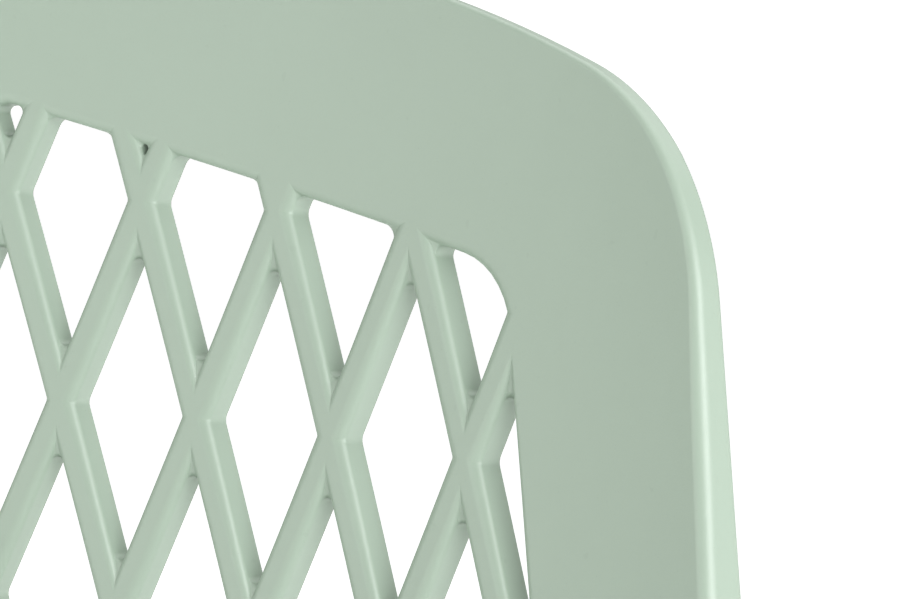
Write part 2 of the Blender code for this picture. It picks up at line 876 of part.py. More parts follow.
def make_bumper(name, corner, rake, side, drop):
    """A soft saddle clipped on a leg where the next chair of a stack leans."""
    start = mirrored(leg_at(corner, corner.z - drop, rake), side)
    along = mirrored(leg_axis(corner, rake), side)
    out = Vector((0, rake, 0))
    out = (out - along * out.dot(along)).normalized()
    other = along.cross(out)
    inner, outer = TUBE_R + GAP, TUBE_R + GAP + BUMPER_THICK
    rings = []
    for slide, radius_out in ((0, outer - 0.001), (0.0015, outer), (BUMPER_LENGTH - 0.0015, outer),
                              (BUMPER_LENGTH, outer - 0.001)):
        loop = []
        for radius, order in ((inner, 1), (radius_out, -1)):
            for i in range(13):
                a = math.radians(105) * (i / 6 - 1) * order
                spoke = math.cos(a) * out + math.sin(a) * other
                loop.append(start + along * slide + spoke * radius)
        rings.append(loop)
    bumper = lofted(name, rings)
    rest_at(bumper, start)
    return bumper


# ---- materials ----------------------------------------------------------------------------------------------
def material(name, colour, roughness, metallic):
    made = bpy.data.materials.new(name)
    made.use_nodes = True
    shader = made.node_tree.nodes["Principled BSDF"]
    shader.inputs["Base Color"].default_value = (*colour, 1.0)
    shader.inputs["Roughness"].default_value = roughness
    shader.inputs["Metallic"].default_value = metallic
    return made


def paint(obj, colour, roughness, metallic, smooth):
    """Gives the object its own material, and smooth shading across soft edges if it is round."""
    obj.data.materials.clear()
    obj.data.materials.append(material(obj.name + "_finish", colour, roughness, metallic))
    if smooth:
        obj.data.shade_smooth()
        obj.data.set_sharp_from_angle(angle=math.radians(35))


SAGE_PLASTIC = (0.40, 0.51, 0.41)
SAGE_PAINT = (0.38, 0.49, 0.39)
DARK_PLASTIC = (0.03, 0.035, 0.03)
STEEL = (0.55, 0.56, 0.57)


def build():
    for obj in list(bpy.data.objects):
        bpy.data.objects.remove(obj)
    moulded = [make_backrest(), make_seat()]
    knee = upright_corners()[1]
    corner = rail_corner()
    tubes = []
    dark = []
    bright = []
    for side, tag in ((-1, "left"), (1, "right")):
        tubes.append(make_upright("upright_" + tag, side))
        tubes.append(make_front_leg("front_leg_" + tag, side))
        bright.append(make_back_screw("back_screw_" + tag, side))
        moulded.append(make_back_cap("back_screw_cap_" + tag, side))
        dark.append(make_glide("glide_front_" + tag, corner, -FRONT_RAKE, side))
        dark.append(make_glide("glide_rear_" + tag, knee, REAR_RAKE, side))
        dark.append(make_bumper("stack_bumper_front_" + tag, corner, -FRONT_RAKE, side, 0.095))
        dark.append(make_bumper("stack_bumper_rear_" + tag, knee, REAR_RAKE, side, 0.105))
    tubes.append(make_cross_rail("cross_rail_front", FRONT_CROSS))
    tubes.append(make_cross_rail("cross_rail_rear", REAR_CROSS))
    for i, (x, ahead) in enumerate(tab_places()):
        tag = ("front" if i < 2 else "rear") + ("_left" if x < 0 else "_right")
        cross = FRONT_CROSS if i < 2 else REAR_CROSS
        tubes.append(make_tab("seat_tab_" + tag, x, ahead, cross))
        bright.append(make_seat_screw("seat_screw_" + tag, x, ahead))
    for obj in moulded:
        paint(obj, SAGE_PLASTIC, 0.45, 0.0, True)
    for obj in tubes:
        paint(obj, SAGE_PAINT, 0.38, 0.0, True)
    for obj in dark:
        paint(obj, DARK_PLASTIC, 0.55, 0.0, True)
    for obj in bright:
        paint(obj, STEEL, 0.30, 1.0, True)


build()
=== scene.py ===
import math

import bmesh
import bpy
from mathutils import Matrix, Vector, geometry


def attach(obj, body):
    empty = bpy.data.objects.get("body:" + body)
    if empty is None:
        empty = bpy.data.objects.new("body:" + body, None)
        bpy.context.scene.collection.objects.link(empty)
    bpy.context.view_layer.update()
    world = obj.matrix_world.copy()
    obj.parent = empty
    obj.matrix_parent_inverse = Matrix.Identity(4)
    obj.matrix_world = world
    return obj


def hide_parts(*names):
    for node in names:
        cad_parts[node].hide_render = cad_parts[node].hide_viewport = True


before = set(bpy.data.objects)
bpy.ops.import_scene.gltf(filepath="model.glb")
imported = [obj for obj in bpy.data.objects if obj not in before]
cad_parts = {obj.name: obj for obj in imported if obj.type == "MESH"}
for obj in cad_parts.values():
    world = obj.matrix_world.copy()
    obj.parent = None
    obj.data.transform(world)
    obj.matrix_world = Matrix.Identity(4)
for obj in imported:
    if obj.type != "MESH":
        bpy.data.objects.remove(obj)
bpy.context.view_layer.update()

# ---- sizes, the same as in the CAD
PITCH = 0.040
RISE = 0.0977
BAR = 0.0076
BAR_DEPTH = 0.0074
SMALLEST_GAP = 0.0008
BACK_RADIUS = 0.410
RECLINE = math.radians(9.13)
BACK_Y = 0.2486
BACK_Z = 0.700
CROWN_RADIUS = 0.478
CROWN_TOP = 0.1138
SIDE_HALF = 0.2103
SIDE_FLARE = 0.165
SHOULDER_R = 0.0585
BACK_BOTTOM = -0.190
BOTTOM_CORNER_R = 0.020
OPEN_TOP = 0.0700
OPEN_TOP_FALL = 0.198
OPEN_HALF = 0.1560
OPEN_FLARE = 0.205
OPEN_BOTTOM = -0.148
OPEN_CORNER_R = 0.019
RIM_STEP = 0.004         # the deeper rim starts this far outside the open field
WIDER = 0.5              # past every edge of the back
EDGE_DEPTH = 0.0086      # depth of the rim at zero height
EDGE_TAPER = 0.042
EDGE_LIP = 0.0044
EDGE_INNER = 0.0079
EDGE_MOST = 0.012
TUBE_R = 0.010
TUBE_WALL = 0.0018
GAP = 0.0003
SOCKET_DEPTH = 0.013
SOCKET_R = 0.013
UPRIGHT_TOP = -0.085
KNEE_Z = 0.452
KNEE_R = 0.060
REAR_RAKE = 0.23
FRONT_RAKE = 0.20
SPLAY = 0.06
RAIL_Z = 0.424
RAIL_LENGTH = 0.335
SEAT_TILT = math.radians(2.5)
FRONT_HALF = 0.229
FRONT_BEND_R = 0.050
LEG_END = 0.014
FRONT_CROSS = 0.262
REAR_CROSS = 0.046
SEAT_DEPTH = 0.0090
SEAT_REAR_HALF = 0.197
SEAT_FRONT_HALF = 0.214
SEAT_LENGTH = 0.380
SEAT_BEHIND = 0.018
SEAT_FRONT_CORNER_R = 0.045
SEAT_REAR_CORNER_R = 0.030
SEAT_REST = 0.0005       # between the frame's tubes and the seat
SEAT_OPEN_HALF = 0.158
SEAT_OPEN_FRONT = 0.086
SEAT_OPEN_REAR = 0.046
NOSE_R = 0.070
NOSE_TURN = math.radians(52)
TAIL_R = 0.160
TAIL_TURN = math.radians(12)
BACK_SCREW_V = -0.152
TAB_X = 0.181
TAB_REACH = 0.022
TAB_WIDTH = 0.026
TAB_THICK = 0.003
TAB_TOP = 0.0027
BOSS_R = 0.0075
SCREW_R = 0.0022
HEAD_R = 0.0045
HEAD_DEPTH = 0.0026
GLIDE_R = 0.0135
BUMPER_THICK = 0.0024
BUMPER_LENGTH = 0.036
FRONT_BUMPER_DROP = 0.095
REAR_BUMPER_DROP = 0.105

# ---- finish of the tubes and small parts
AROUND = 40              # sides of a round piece
BEND_STEPS = 18
SHARP_ANGLE = math.radians(38)
WELD_R = 0.0013
WELD_RIPPLE = 0.14
WELD_CLEAR = 0.014       # the coped end of a tube lies within this length
WELD_SIDES = 10
TAB_CORNER_R = 0.006
TAB_EDGE = 0.0005
TAB_PAST_BOSS = 0.010
SOCKET_SUNK = 0.003      # the sockets stay this far behind the face of the back

# ---- soft edges of the mouldings
ACUTE_R = 0.0021         # corners of an opening, at the sharp and at the blunt ends
OBTUSE_R = 0.0030
BAR_REAR_R = 0.0007      # rear edges of the bars
BAR_EDGE_R = 0.0030      # front edges of the lattice bars
RIM_EDGE_R = 0.0026      # where the rim rolls into the openings
OUTER_EDGE_R = 0.0030    # outer front edge of the rim, down the sides
CROWN_EDGE_R = 0.0011    # and at the crown
CRISP_FROM = 0.015       # the change between the two runs between these heights
CRISP_TO = 0.085
REAR_EDGE_R = 0.0014     # rear edge of the rim
ROUND_STEPS = 7
REAR_STEPS = 3
BAR_REAR_STEPS = 2
POCKET_POWER = 12        # how late the sharp crease of a corner opens into a round pocket
SHORT_RIM = 0.005        # a rim side this short between two bars takes their edge radius
EDGE_SQUASH = 0.62       # the soft edges are this deep, as a share of their width
MITRE_MOST = 1.8         # creases reach no further than this many edge radii
CREASE_R = 0.00012       # the crease's own radius, on the face
LEAST_TURN = math.radians(25)  # a corner that turns less than this stays plain
SHARP_TURN = math.radians(110)
CORNER_STEPS = 9         # in an arc that turns by STEPS_TURN
STEPS_TURN = 1.6
NEARLY_STRAIGHT = 0.05
ON_EDGE = 0.0001
EDGE_PIECE = 0.009       # longest piece of an opening's edge
OUTLINE_PIECE = 0.010
STEP_PIECE = 0.012
GRID_SPACING = 0.012     # of the points inside a face, so that it follows the curve
GRID_CLEAR = 0.004

# ---- camera
AZIMUTH = math.radians(25.58)
ELEVATION = math.radians(10.60)
LENS = 100.0
SENSOR = 36.0
CLIP_START = 0.02
CAMERA_FROM_BACK = Vector((0.3548, -0.4835, 0.1332))

# ---- light and floor
WORLD_STRENGTH = 0.40
BACKDROP_STRENGTH = 1.15  # the white behind the chair, as the camera sees it
KEY_POWER = 19.5
SIDE_POWER = 3.0
FILL_POWER = 9.0
TOP_POWER = 17.0
FLOOR_HALF = 6.0
FLOOR_NEAR = 0.5          # the floor starts to glow here, so that it fades into the backdrop
FLOOR_FAR = 1.5
FLOOR_GLOW_NEAR = 0.08
FLOOR_GLOW_FAR = 0.66

# ---- colours
WHITE = (1.0, 1.0, 1.0)
BLACK = (0.0, 0.0, 0.0)
SAGE = (0.328, 0.416, 0.331)
SAGE_PAINT = (0.330, 0.430, 0.335)
DARK = (0.050, 0.060, 0.052)
ZINC = (0.62, 0.63, 0.64)


# ---- helpers
def quarter(steps):
    """Angles from 0 to a right angle."""
    return [math.pi / 2 * step / steps for step in range(steps + 1)]


def spokes(side, other, count):
    angles = [2 * math.pi * i / count for i in range(count)]
    return [math.cos(a) * side + math.sin(a) * other for a in angles]


def sides_of(loop):
    return list(zip(loop, loop[1:] + loop[:1]))


def distance(point, segments):
    """From the point to the nearest of the segments."""
    best = 1.0
    for p, q in segments:
        along = q - p
        t = max(0.0, min(1.0, (point - p).dot(along) / along.length_squared))
        best = min(best, (p + along * t - point).length)
    return best


def linked(name, data):
    obj = bpy.data.objects.new(name, data)
    bpy.context.scene.collection.objects.link(obj)
    return obj


# ---- outlines in the flat
def half_plane(polygon, a, b, c):
    """The part of the polygon where a*u + b*v is at most c."""
    kept = []
    for (u0, v0), (u1, v1) in sides_of(polygon):
        d0 = a * u0 + b * v0 - c
        d1 = a * u1 + b * v1 - c
        if d0 <= 0:
            kept.append((u0, v0))
        if d0 * d1 < 0:
            t = d0 / (d0 - d1)
            kept.append((u0 + t * (u1 - u0), v0 + t * (v1 - v0)))
    return kept


def clipped(polygon, convex):
    for (u0, v0), (u1, v1) in sides_of(convex):
        a, b = v1 - v0, u0 - u1
        polygon = half_plane(polygon, a, b, a * u0 + b * v0)
        if len(polygon) < 3:
            return []
    return polygon


def cleaned(polygon, least=0.0004):
    kept = []
    for point in polygon:
        if not kept or math.dist(point, kept[-1]) > least:
            kept.append(point)
    if len(kept) > 1 and math.dist(kept[0], kept[-1]) <= least:
        kept.pop()
    return kept


def turn_at(polygon, i):
    p, q, r = Vector(polygon[i - 1]), Vector(polygon[i]), Vector(polygon[(i + 1) % len(polygon)])
    a, b = q - p, r - q
    return math.atan2(a.x * b.y - a.y * b.x, a.dot(b))


def rounded(polygon, radius_of, steps):
    out = []
    for i, corner in enumerate(polygon):
        turn = turn_at(polygon, i)
        radius = radius_of(i, turn)
        here = Vector(corner)
        back = Vector(polygon[i - 1]) - here
        ahead = Vector(polygon[(i + 1) % len(polygon)]) - here
        run = min(radius * math.tan(abs(turn) / 2), 0.47 * back.length, 0.47 * ahead.length)
        if radius <= 0 or run < 1e-5:
            out.append(tuple(corner))
            continue
        radius = run / math.tan(abs(turn) / 2)
        start = here + back.normalized() * run
        side = 1 if turn > 0 else -1
        inward = Vector((back.y, -back.x)).normalized() * side
        centre = start + inward * radius
        spoke = start - centre
        count = max(2, round(steps * abs(turn) / STEPS_TURN))
        for step in range(count + 1):
            out.append(tuple(centre + Matrix.Rotation(turn * step / count, 2) @ spoke))
    return out


def subdivided(polygon, longest):
    out = []
    for p, q in sides_of(polygon):
        count = max(1, math.ceil(math.dist(p, q) / longest))
        for i in range(count):
            t = i / count
            out.append((p[0] + t * (q[0] - p[0]), p[1] + t * (q[1] - p[1])))
    return out


def mean_width(polygon):
    sides = sides_of(polygon)
    area = sum((p[0] * q[1] - q[0] * p[1]) / 2 for p, q in sides)
    return 2 * area / sum(math.dist(p, q) for p, q in sides)


def inside(point, polygon):
    u, v = point
    found = False
    for (u0, v0), (u1, v1) in sides_of(polygon):
        if (v0 > v) != (v1 > v) and u < u0 + (v - v0) * (u1 - u0) / (v1 - v0):
            found = not found
    return found


def with_normals(polygon):
    """The loop as (u, v, nu, nv), with normals that point out of it."""
    out = []
    for i, here in enumerate(polygon):
        before = Vector(here) - Vector(polygon[i - 1])
        after = Vector(polygon[(i + 1) % len(polygon)]) - Vector(here)
        normals = [Vector((along.y, -along.x)).normalized() for along in (before, after)]
        normal = (normals[0] + normals[1]).normalized()
        out.append((here[0], here[1], normal.x, normal.y))
    return out


def diamond_openings(field, row_v):
    half_u, half_v = PITCH / 2, RISE / 2
    shrink = 1 - BAR / 2 * math.hypot(half_u, half_v) / (half_u * half_v)
    du, dv = half_u * shrink, half_v * shrink
    columns = int(max(abs(p[0]) for p in field) / half_u) + 2
    rows = int(max(abs(p[1] - row_v) for p in field) / half_v) + 2
    openings = []
    for row in range(-rows, rows + 1):
        for column in range(-columns, columns + 1):
            if (row + column) % 2:
                continue
            u, v = column * half_u, row_v + row * half_v
            cell = [(u + du, v), (u, v + dv), (u - du, v), (u, v - dv)]
            cell = cleaned(clipped(cell, field))
            if len(cell) > 2 and mean_width(cell) > SMALLEST_GAP:
                openings.append(cell)
    return openings


class Opening:
    """A gap in the lattice, whose soft front edges meet in a crease at its corners."""

    def __init__(self, cell, field):
        self.cell = [Vector(p) for p in cell]
        sides = sides_of(self.cell)
        lines = [(q - p).normalized() for p, q in sides]
        self.normals = [Vector((along.y, -along.x)) for along in lines]
        self.splits = [max(1, math.ceil((q - p).length / EDGE_PIECE)) for p, q in sides]
        edge = sides_of([Vector(p) for p in field])
        rim = [distance((p + q) / 2, edge) < ON_EDGE for p, q in sides]
        self.radii = []
        self.arcs = []
        self.corners = []
        for i, (p, q) in enumerate(sides):
            near_rim = rim[i - 1] or rim[(i + 1) % len(rim)]
            as_rim = rim[i] and (near_rim or (q - p).length >= SHORT_RIM)
            self.radii.append(RIM_EDGE_R if as_rim else BAR_EDGE_R)
            turn = turn_at(cell, i)
            turned = turn > LEAST_TURN
            self.arcs.append(max(3, round(CORNER_STEPS * turn / STEPS_TURN)) if turned else 0)
            self.corners.append(ACUTE_R if turn > SHARP_TURN else OBTUSE_R)

    def grown(self, a):
        """The corners of the edge at one angle of its rounding."""
        out = []
        for i, corner in enumerate(self.cell):
            n0, n1 = self.normals[i - 1], self.normals[i]
            d0, d1 = (self.radii[k] * (1 - math.sin(a)) for k in (i - 1, i))
            cross = n0.x * n1.y - n0.y * n1.x
            if abs(cross) < NEARLY_STRAIGHT:
                out.append(corner + (n0 + n1).normalized() * (d0 + d1) / 2)
                continue
            x = (d0 * n1.y - d1 * n0.y) / cross
            y = (d1 * n0.x - d0 * n1.x) / cross
            mitre = Vector((x, y))
            most = MITRE_MOST * (d0 + d1) / 2
            if mitre.length > most:
                mitre *= most / mitre.length
            out.append(corner + mitre)
        return out

    def arc(self, i, grown, a):
        """One corner of the edge, as (place, outward normal, edge radius)."""
        here = grown[i]
        n0, n1 = self.normals[i - 1], self.normals[i]
        r0, r1 = self.radii[i - 1], self.radii[i]
        if not self.arcs[i]:
            return [(here, (n0 + n1).normalized(), (r0 + r1) / 2)]
        back = grown[i - 1] - here
        ahead = grown[(i + 1) % len(grown)] - here
        turn = n0.angle(n1)
        radius = CREASE_R + (self.corners[i] - CREASE_R) * math.sin(a) ** POCKET_POWER
        run = min(radius * math.tan(turn / 2), 0.45 * back.length, 0.45 * ahead.length)
        radius = run / math.tan(turn / 2)
        centre = here + back.normalized() * run - n0 * radius
        out = []
        for step in range(self.arcs[i] + 1):
            t = step / self.arcs[i]
            spoke = Matrix.Rotation(turn * t, 2) @ n0
            out.append((centre + spoke * radius, spoke, r0 + (r1 - r0) * t))
        return out

    def loop(self, a):
        """The whole edge at one angle: 0 on the face, a right angle on the wall."""
        grown = self.grown(a)
        corners = [self.arc(i, grown, a) for i in range(len(grown))]
        out = []
        for i, arc in enumerate(corners):
            out += arc
            end, start = arc[-1][0], corners[(i + 1) % len(corners)][0][0]
            for k in range(1, self.splits[i]):
                t = k / self.splits[i]
                out.append((end + (start - end) * t, self.normals[i], self.radii[i]))
        return out


# ---- a moulded panel with soft edges
def past_sliver(face, coords, beside):
    sides = sides_of(face)
    a, b = max(sides, key=lambda side: (coords[side[0]] - coords[side[1]]).length)
    area = abs(geometry.area_tri(*(coords[i] for i in face)))
    if area > 1e-6 * (coords[a] - coords[b]).length:
        return face
    return beside.get((b, a), face)


def fill(loops, keep, extra):
    every = [point for loop in loops + [extra] for point in loop]
    points = [Vector((u, v)) for index, u, v in every]
    edges = []
    first = 0
    for loop in loops:
        count = len(loop)
        edges += [(first + i, first + (i + 1) % count) for i in range(count)]
        first += count
    made = geometry.delaunay_2d_cdt(points, edges, [], 0, 1e-7, True)
    coords, faces, origin = made[0], made[2], made[3]
    beside = {side: face for face in faces for side in sides_of(face)}
    out = []
    for face in faces:
        judged = face
        for _ in range(3):
            judged = past_sliver(judged, coords, beside)
        middle = sum((coords[i] for i in judged), Vector((0, 0))) / len(judged)
        if keep(middle.x, middle.y):
            out.append([every[origin[i][0]][0] for i in face])
    return out


class Shell:
    """Collects points with their true surface normals, and faces between them."""

    def __init__(self, place):
        self.place = place
        self.coords = []
        self.normals = []
        self.edge = []
        self.faces = []

    def point(self, u, v, d, normal, edge=0.0):
        """normal is given along u, v and d."""
        step = 1e-4
        here = self.place(u, v, d)
        du = (self.place(u + step, v, d) - here).normalized()
        dv = (self.place(u, v + step, d) - here).normalized()
        dd = (self.place(u, v, d + step) - here).normalized()
        out = du * normal[0] + dv * normal[1] + dd * normal[2]
        self.coords.append(here)
        self.normals.append(out.normalized())
        self.edge.append(edge)
        return len(self.coords) - 1

    def band(self, first, second, flip):
        for i in range(len(first)):
            j = (i + 1) % len(first)
            quad = [first[i], second[i], second[j], first[j]]
            self.faces.append(quad[::-1] if flip else quad)

    def finish(self, name):
        mesh = bpy.data.meshes.new(name)
        mesh.from_pydata(self.coords, [], self.faces)
        mesh.update()
        mesh.shade_smooth()
        mesh.normals_split_custom_set_from_vertices([tuple(n) for n in self.normals])
        layer = mesh.attributes.new("edge", "FLOAT", "POINT")
        layer.data.foreach_set("value", self.edge)
        return linked(name, mesh)


def outer_wall(shell, loop, radius_of, depth_of):
    """The wall round the outline, with soft front and rear edges. Returns its end rings."""
    rings = []
    for a in quarter(ROUND_STEPS):
        ring = []
        for u, v, nu, nv in loop:
            shift = -radius_of(u, v) * (1 - math.sin(a))
            drop = -radius_of(u, v) * (1 - math.cos(a))
            normal = (nu * math.sin(a), nv * math.sin(a), math.cos(a))
            ring.append(shell.point(u + nu * shift, v + nv * shift, drop, normal, math.sin(2 * a)))
        rings.append(ring)
    for a in quarter(REAR_STEPS):
        shift = -REAR_EDGE_R * (1 - math.cos(a))
        ring = []
        for u, v, nu, nv in loop:
            drop = -depth_of(u, v) + REAR_EDGE_R * (1 - math.sin(a))
            normal = (nu * math.cos(a), nv * math.cos(a), -math.sin(a))
            ring.append(shell.point(u + nu * shift, v + nv * shift, drop, normal))
        rings.append(ring)
    for first, second in zip(rings, rings[1:]):
        shell.band(first, second, False)
    return rings[0], rings[-1]


def true_normals(shell, rings):
    """Takes the normals of the rings between the first and the last from the points around them."""
    for before, here, after in zip(rings, rings[1:], rings[2:]):
        count = len(here)
        for i in range(count):
            along = shell.coords[here[(i + 1) % count]] - shell.coords[here[i - 1]]
            across = shell.coords[after[i]] - shell.coords[before[i]]
            normal = along.cross(across)
            if normal.length < 1e-12:
                continue
            normal.normalize()
            if normal.dot(shell.normals[here[i]]) < 0:
                normal.negate()
            shell.normals[here[i]] = normal


def opening_wall(shell, opening):
    """The wall of one opening. Returns its end rings with their flat outlines."""
    rings = []
    for a in quarter(ROUND_STEPS):
        ring = []
        flat = []
        for here, out, radius in opening.loop(a):
            drop = -radius * EDGE_SQUASH * (1 - math.cos(a))
            side = EDGE_SQUASH * math.sin(a)
            normal = (-out.x * side, -out.y * side, math.cos(a))
            ring.append(shell.point(here.x, here.y, drop, normal, math.sin(2 * a)))
            flat.append((here.x, here.y))
        rings.append(ring)
        if a == 0:
            front = flat
    true_normals(shell, rings)
    for a in quarter(BAR_REAR_STEPS):
        ring = []
        flat = []
        for here, out, _ in opening.loop(math.pi / 2):
            at = here + out * BAR_REAR_R * (1 - math.cos(a))
            drop = -BAR_DEPTH + BAR_REAR_R * (1 - math.sin(a))
            normal = (-out.x * math.cos(a), -out.y * math.cos(a), -math.sin(a))
            ring.append(shell.point(at.x, at.y, drop, normal))
            flat.append((at.x, at.y))
        rings.append(ring)
    for first, second in zip(rings, rings[1:]):
        shell.band(first, second, True)
    return rings[0], front, rings[-1], flat


def moved(loop, shift_of):
    return [(u + nu * shift_of(u, v), v + nv * shift_of(u, v)) for u, v, nu, nv in loop]


def grid_span(values):
    return range(math.ceil(min(values) / GRID_SPACING), math.floor(max(values) / GRID_SPACING) + 1)


def grid(outline, keep):
    """Staggered points over the outline, each clear of the edges of what keep() holds."""
    points = []
    for i in grid_span([p[0] for p in outline]):
        for j in grid_span([p[1] for p in outline]):
            u, v = i * GRID_SPACING, (j + 0.5 * (i % 2)) * GRID_SPACING
            shifts = [(a * GRID_CLEAR, b * GRID_CLEAR) for a in (-1, 0, 1) for b in (-1, 0, 1)]
            if all(keep(u + du, v + dv) for du, dv in shifts):
                points.append((u, v))
    return points


def numbered(ids, flat):
    return [(i, *p) for i, p in zip(ids, flat)]


def soft_panel(name, outline, openings, step, place, edge_depth, outer_r):
    shell = Shell(place)
    outline = with_normals(outline)
    step_loop = with_normals(step)
    front_out, rear_out = outer_wall(shell, outline, outer_r, edge_depth)
    front_flat = moved(outline, lambda u, v: -outer_r(u, v))
    rear_flat = moved(outline, lambda u, v: -REAR_EDGE_R)
    front_loops = [numbered(front_out, front_flat)]
    bars_loops = []
    front_holes = []
    rear_holes = []
    for opening in openings:
        front, flat, behind, rear_hole = opening_wall(shell, opening)
        front_holes.append(flat)
        rear_holes.append(rear_hole)
        front_loops.append(numbered(front, flat))
        bars_loops.append(numbered(behind, rear_hole))

    def front_here(u, v):
        return inside((u, v), front_flat) and not any(inside((u, v), h) for h in front_holes)

    def rim_here(u, v):
        return inside((u, v), rear_flat) and not inside((u, v), step)

    def bars_here(u, v):
        return inside((u, v), step) and not any(inside((u, v), h) for h in rear_holes)

    def rear(points):
        return [(shell.point(u, v, -edge_depth(u, v), (0, 0, -1)), u, v) for u, v in points]

    extra = [(shell.point(u, v, 0, (0, 0, 1)), u, v) for u, v in grid(outline, front_here)]
    shell.faces += fill(front_loops, front_here, extra)
    deep = rear(step)
    extra = rear(grid(outline, rim_here))
    rim = [numbered(rear_out, rear_flat), deep]
    shell.faces += [f[::-1] for f in fill(rim, rim_here, extra)]
    shallow = [(shell.point(u, v, -BAR_DEPTH, (0, 0, -1)), u, v) for u, v in step]
    shell.faces += [f[::-1] for f in fill([shallow] + bars_loops, bars_here, [])]
    high = [shell.point(u, v, -BAR_DEPTH, (-nu, -nv, 0)) for u, v, nu, nv in step_loop]
    low = [shell.point(u, v, -edge_depth(u, v), (-nu, -nv, 0)) for u, v, nu, nv in step_loop]
    shell.band(high, low, True)
    return shell.finish(name)


# ---- where things are
def back_point(u, v, d):
    a = u / BACK_RADIUS
    x = (BACK_RADIUS - d) * math.sin(a)
    ahead = BACK_RADIUS - (BACK_RADIUS - d) * math.cos(a)
    y = BACK_Y + v * math.sin(RECLINE) - ahead * math.cos(RECLINE)
    z = BACK_Z + v * math.cos(RECLINE) + ahead * math.sin(RECLINE)
    return Vector((x, y, z))


def side_u(v):
    return SIDE_HALF - SIDE_FLARE * v


def stile_u(v):
    return (side_u(v) + OPEN_HALF - OPEN_FLARE * v) / 2


def leg_at(start, z, rake):
    drop = start.z - z
    return start + Vector((SPLAY * drop, rake * drop, -drop))


def upright_corners():
    top = back_point(stile_u(UPRIGHT_TOP), UPRIGHT_TOP, -SOCKET_DEPTH)
    low = back_point(stile_u(BACK_BOTTOM), BACK_BOTTOM, -SOCKET_DEPTH)
    knee = top + (low - top) * (top.z - KNEE_Z) / (top.z - low.z)
    return top, knee, leg_at(knee, LEG_END, REAR_RAKE)


def rail_start():
    return leg_at(upright_corners()[1], RAIL_Z, REAR_RAKE)


RAIL_START = rail_start()


def seat_flat(x, ahead, up):
    y = RAIL_START.y - ahead * math.cos(SEAT_TILT) + up * math.sin(SEAT_TILT)
    z = RAIL_START.z + ahead * math.sin(SEAT_TILT) + up * math.cos(SEAT_TILT)
    return Vector((x, y, z))


def rail_x(ahead):
    return RAIL_START.x + (FRONT_HALF - RAIL_START.x) * ahead / RAIL_LENGTH


def seat_point(u, v, d):
    nose, tail = NOSE_R * NOSE_TURN, TAIL_R * TAIL_TURN
    flat_end = SEAT_LENGTH - tail
    ahead = SEAT_LENGTH - SEAT_BEHIND - max(nose, min(v, flat_end))
    up = TUBE_R + SEAT_REST + SEAT_DEPTH
    lean = 0.0
    if v < nose:
        lean = (nose - v) / NOSE_R
        ahead += NOSE_R * math.sin(lean)
        up -= NOSE_R * (1 - math.cos(lean))
    elif v > flat_end:
        lean = (v - flat_end) / TAIL_R
        ahead -= TAIL_R * math.sin(lean)
        up += TAIL_R * (1 - math.cos(lean))
    return seat_flat(u, ahead + d * math.sin(lean), up + d * math.cos(lean))


# ---- back
def crown_v(u):
    return CROWN_TOP - CROWN_RADIUS + math.sqrt(CROWN_RADIUS ** 2 - u * u)


def shoulder():
    slope = math.atan(SIDE_FLARE)
    low, high = -0.05, 0.15
    for _ in range(60):
        v = (low + high) / 2
        u = side_u(v) - SHOULDER_R / math.cos(slope)
        reach = math.hypot(u, v - CROWN_TOP + CROWN_RADIUS)
        if reach > CROWN_RADIUS - SHOULDER_R:
            high = v
        else:
            low = v
    return u, v


def back_outline():
    u, v = shoulder()
    from_angle = math.atan(SIDE_FLARE)
    to_angle = math.atan2(v - CROWN_TOP + CROWN_RADIUS, u)
    right = [(side_u(BACK_BOTTOM), BACK_BOTTOM)]
    for i in range(25):
        a = from_angle + (to_angle - from_angle) * i / 24
        right.append((u + SHOULDER_R * math.cos(a), v + SHOULDER_R * math.sin(a)))
    last = right[-1][0]
    for i in range(1, 24):
        across = last * (1 - i / 24)
        right.append((across, crown_v(across)))
    left = [(-p[0], p[1]) for p in right[::-1]]
    outline = right + [(0.0, CROWN_TOP)] + left
    outline = rounded(outline, lambda i, turn: BOTTOM_CORNER_R if turn > 1 else 0, 12)
    return subdivided(outline, OUTLINE_PIECE)


def back_field(grow):
    side_grow = grow * math.hypot(1, OPEN_FLARE)
    top_grow = grow * math.hypot(1, OPEN_TOP_FALL)
    low = OPEN_BOTTOM - grow
    field = [(-WIDER, low), (WIDER, low), (WIDER, WIDER), (-WIDER, WIDER)]
    for side in (1, -1):
        field = half_plane(field, side, OPEN_FLARE, OPEN_HALF + side_grow)
        field = half_plane(field, side * OPEN_TOP_FALL, 1, OPEN_TOP + top_grow)
    return rounded(field, lambda i, turn: OPEN_CORNER_R + grow if turn > 0.6 else 0, CORNER_STEPS)


def rim_share(u, v):
    """0 beside the open field, 1 at the outline."""
    across, top = abs(u), OPEN_TOP - OPEN_TOP_FALL * abs(u)
    side = OPEN_HALF - OPEN_FLARE * v
    over_top = (v - top) / (crown_v(min(across, SIDE_HALF)) - top)
    over_side = (across - side) / (side_u(v) - side)
    return max(0.0, min(1.0, max(over_top, over_side)))


def back_edge_depth(u, v):
    """The rim thins towards its lip near the crown, and is deeper all through lower down."""
    lip = max(EDGE_LIP, min(EDGE_MOST, EDGE_DEPTH - EDGE_TAPER * v))
    inner = max(EDGE_INNER, lip)
    return inner + (lip - inner) * rim_share(u, v)


def lattice(field, row_v):
    return [Opening(cell, field) for cell in diamond_openings(field, row_v)]


def back_outer_radius(u, v):
    """The front edge of the rim is crisper at the crown than down the sides."""
    share = max(0.0, min(1.0, (v - CRISP_FROM) / (CRISP_TO - CRISP_FROM)))
    return OUTER_EDGE_R + (CROWN_EDGE_R - OUTER_EDGE_R) * share


def make_back():
    field = back_field(0)
    step = subdivided(back_field(RIM_STEP), STEP_PIECE)
    return soft_panel(
        "lattice_back", back_outline(), lattice(field, 0.0), step,
        back_point, back_edge_depth, back_outer_radius,
    )


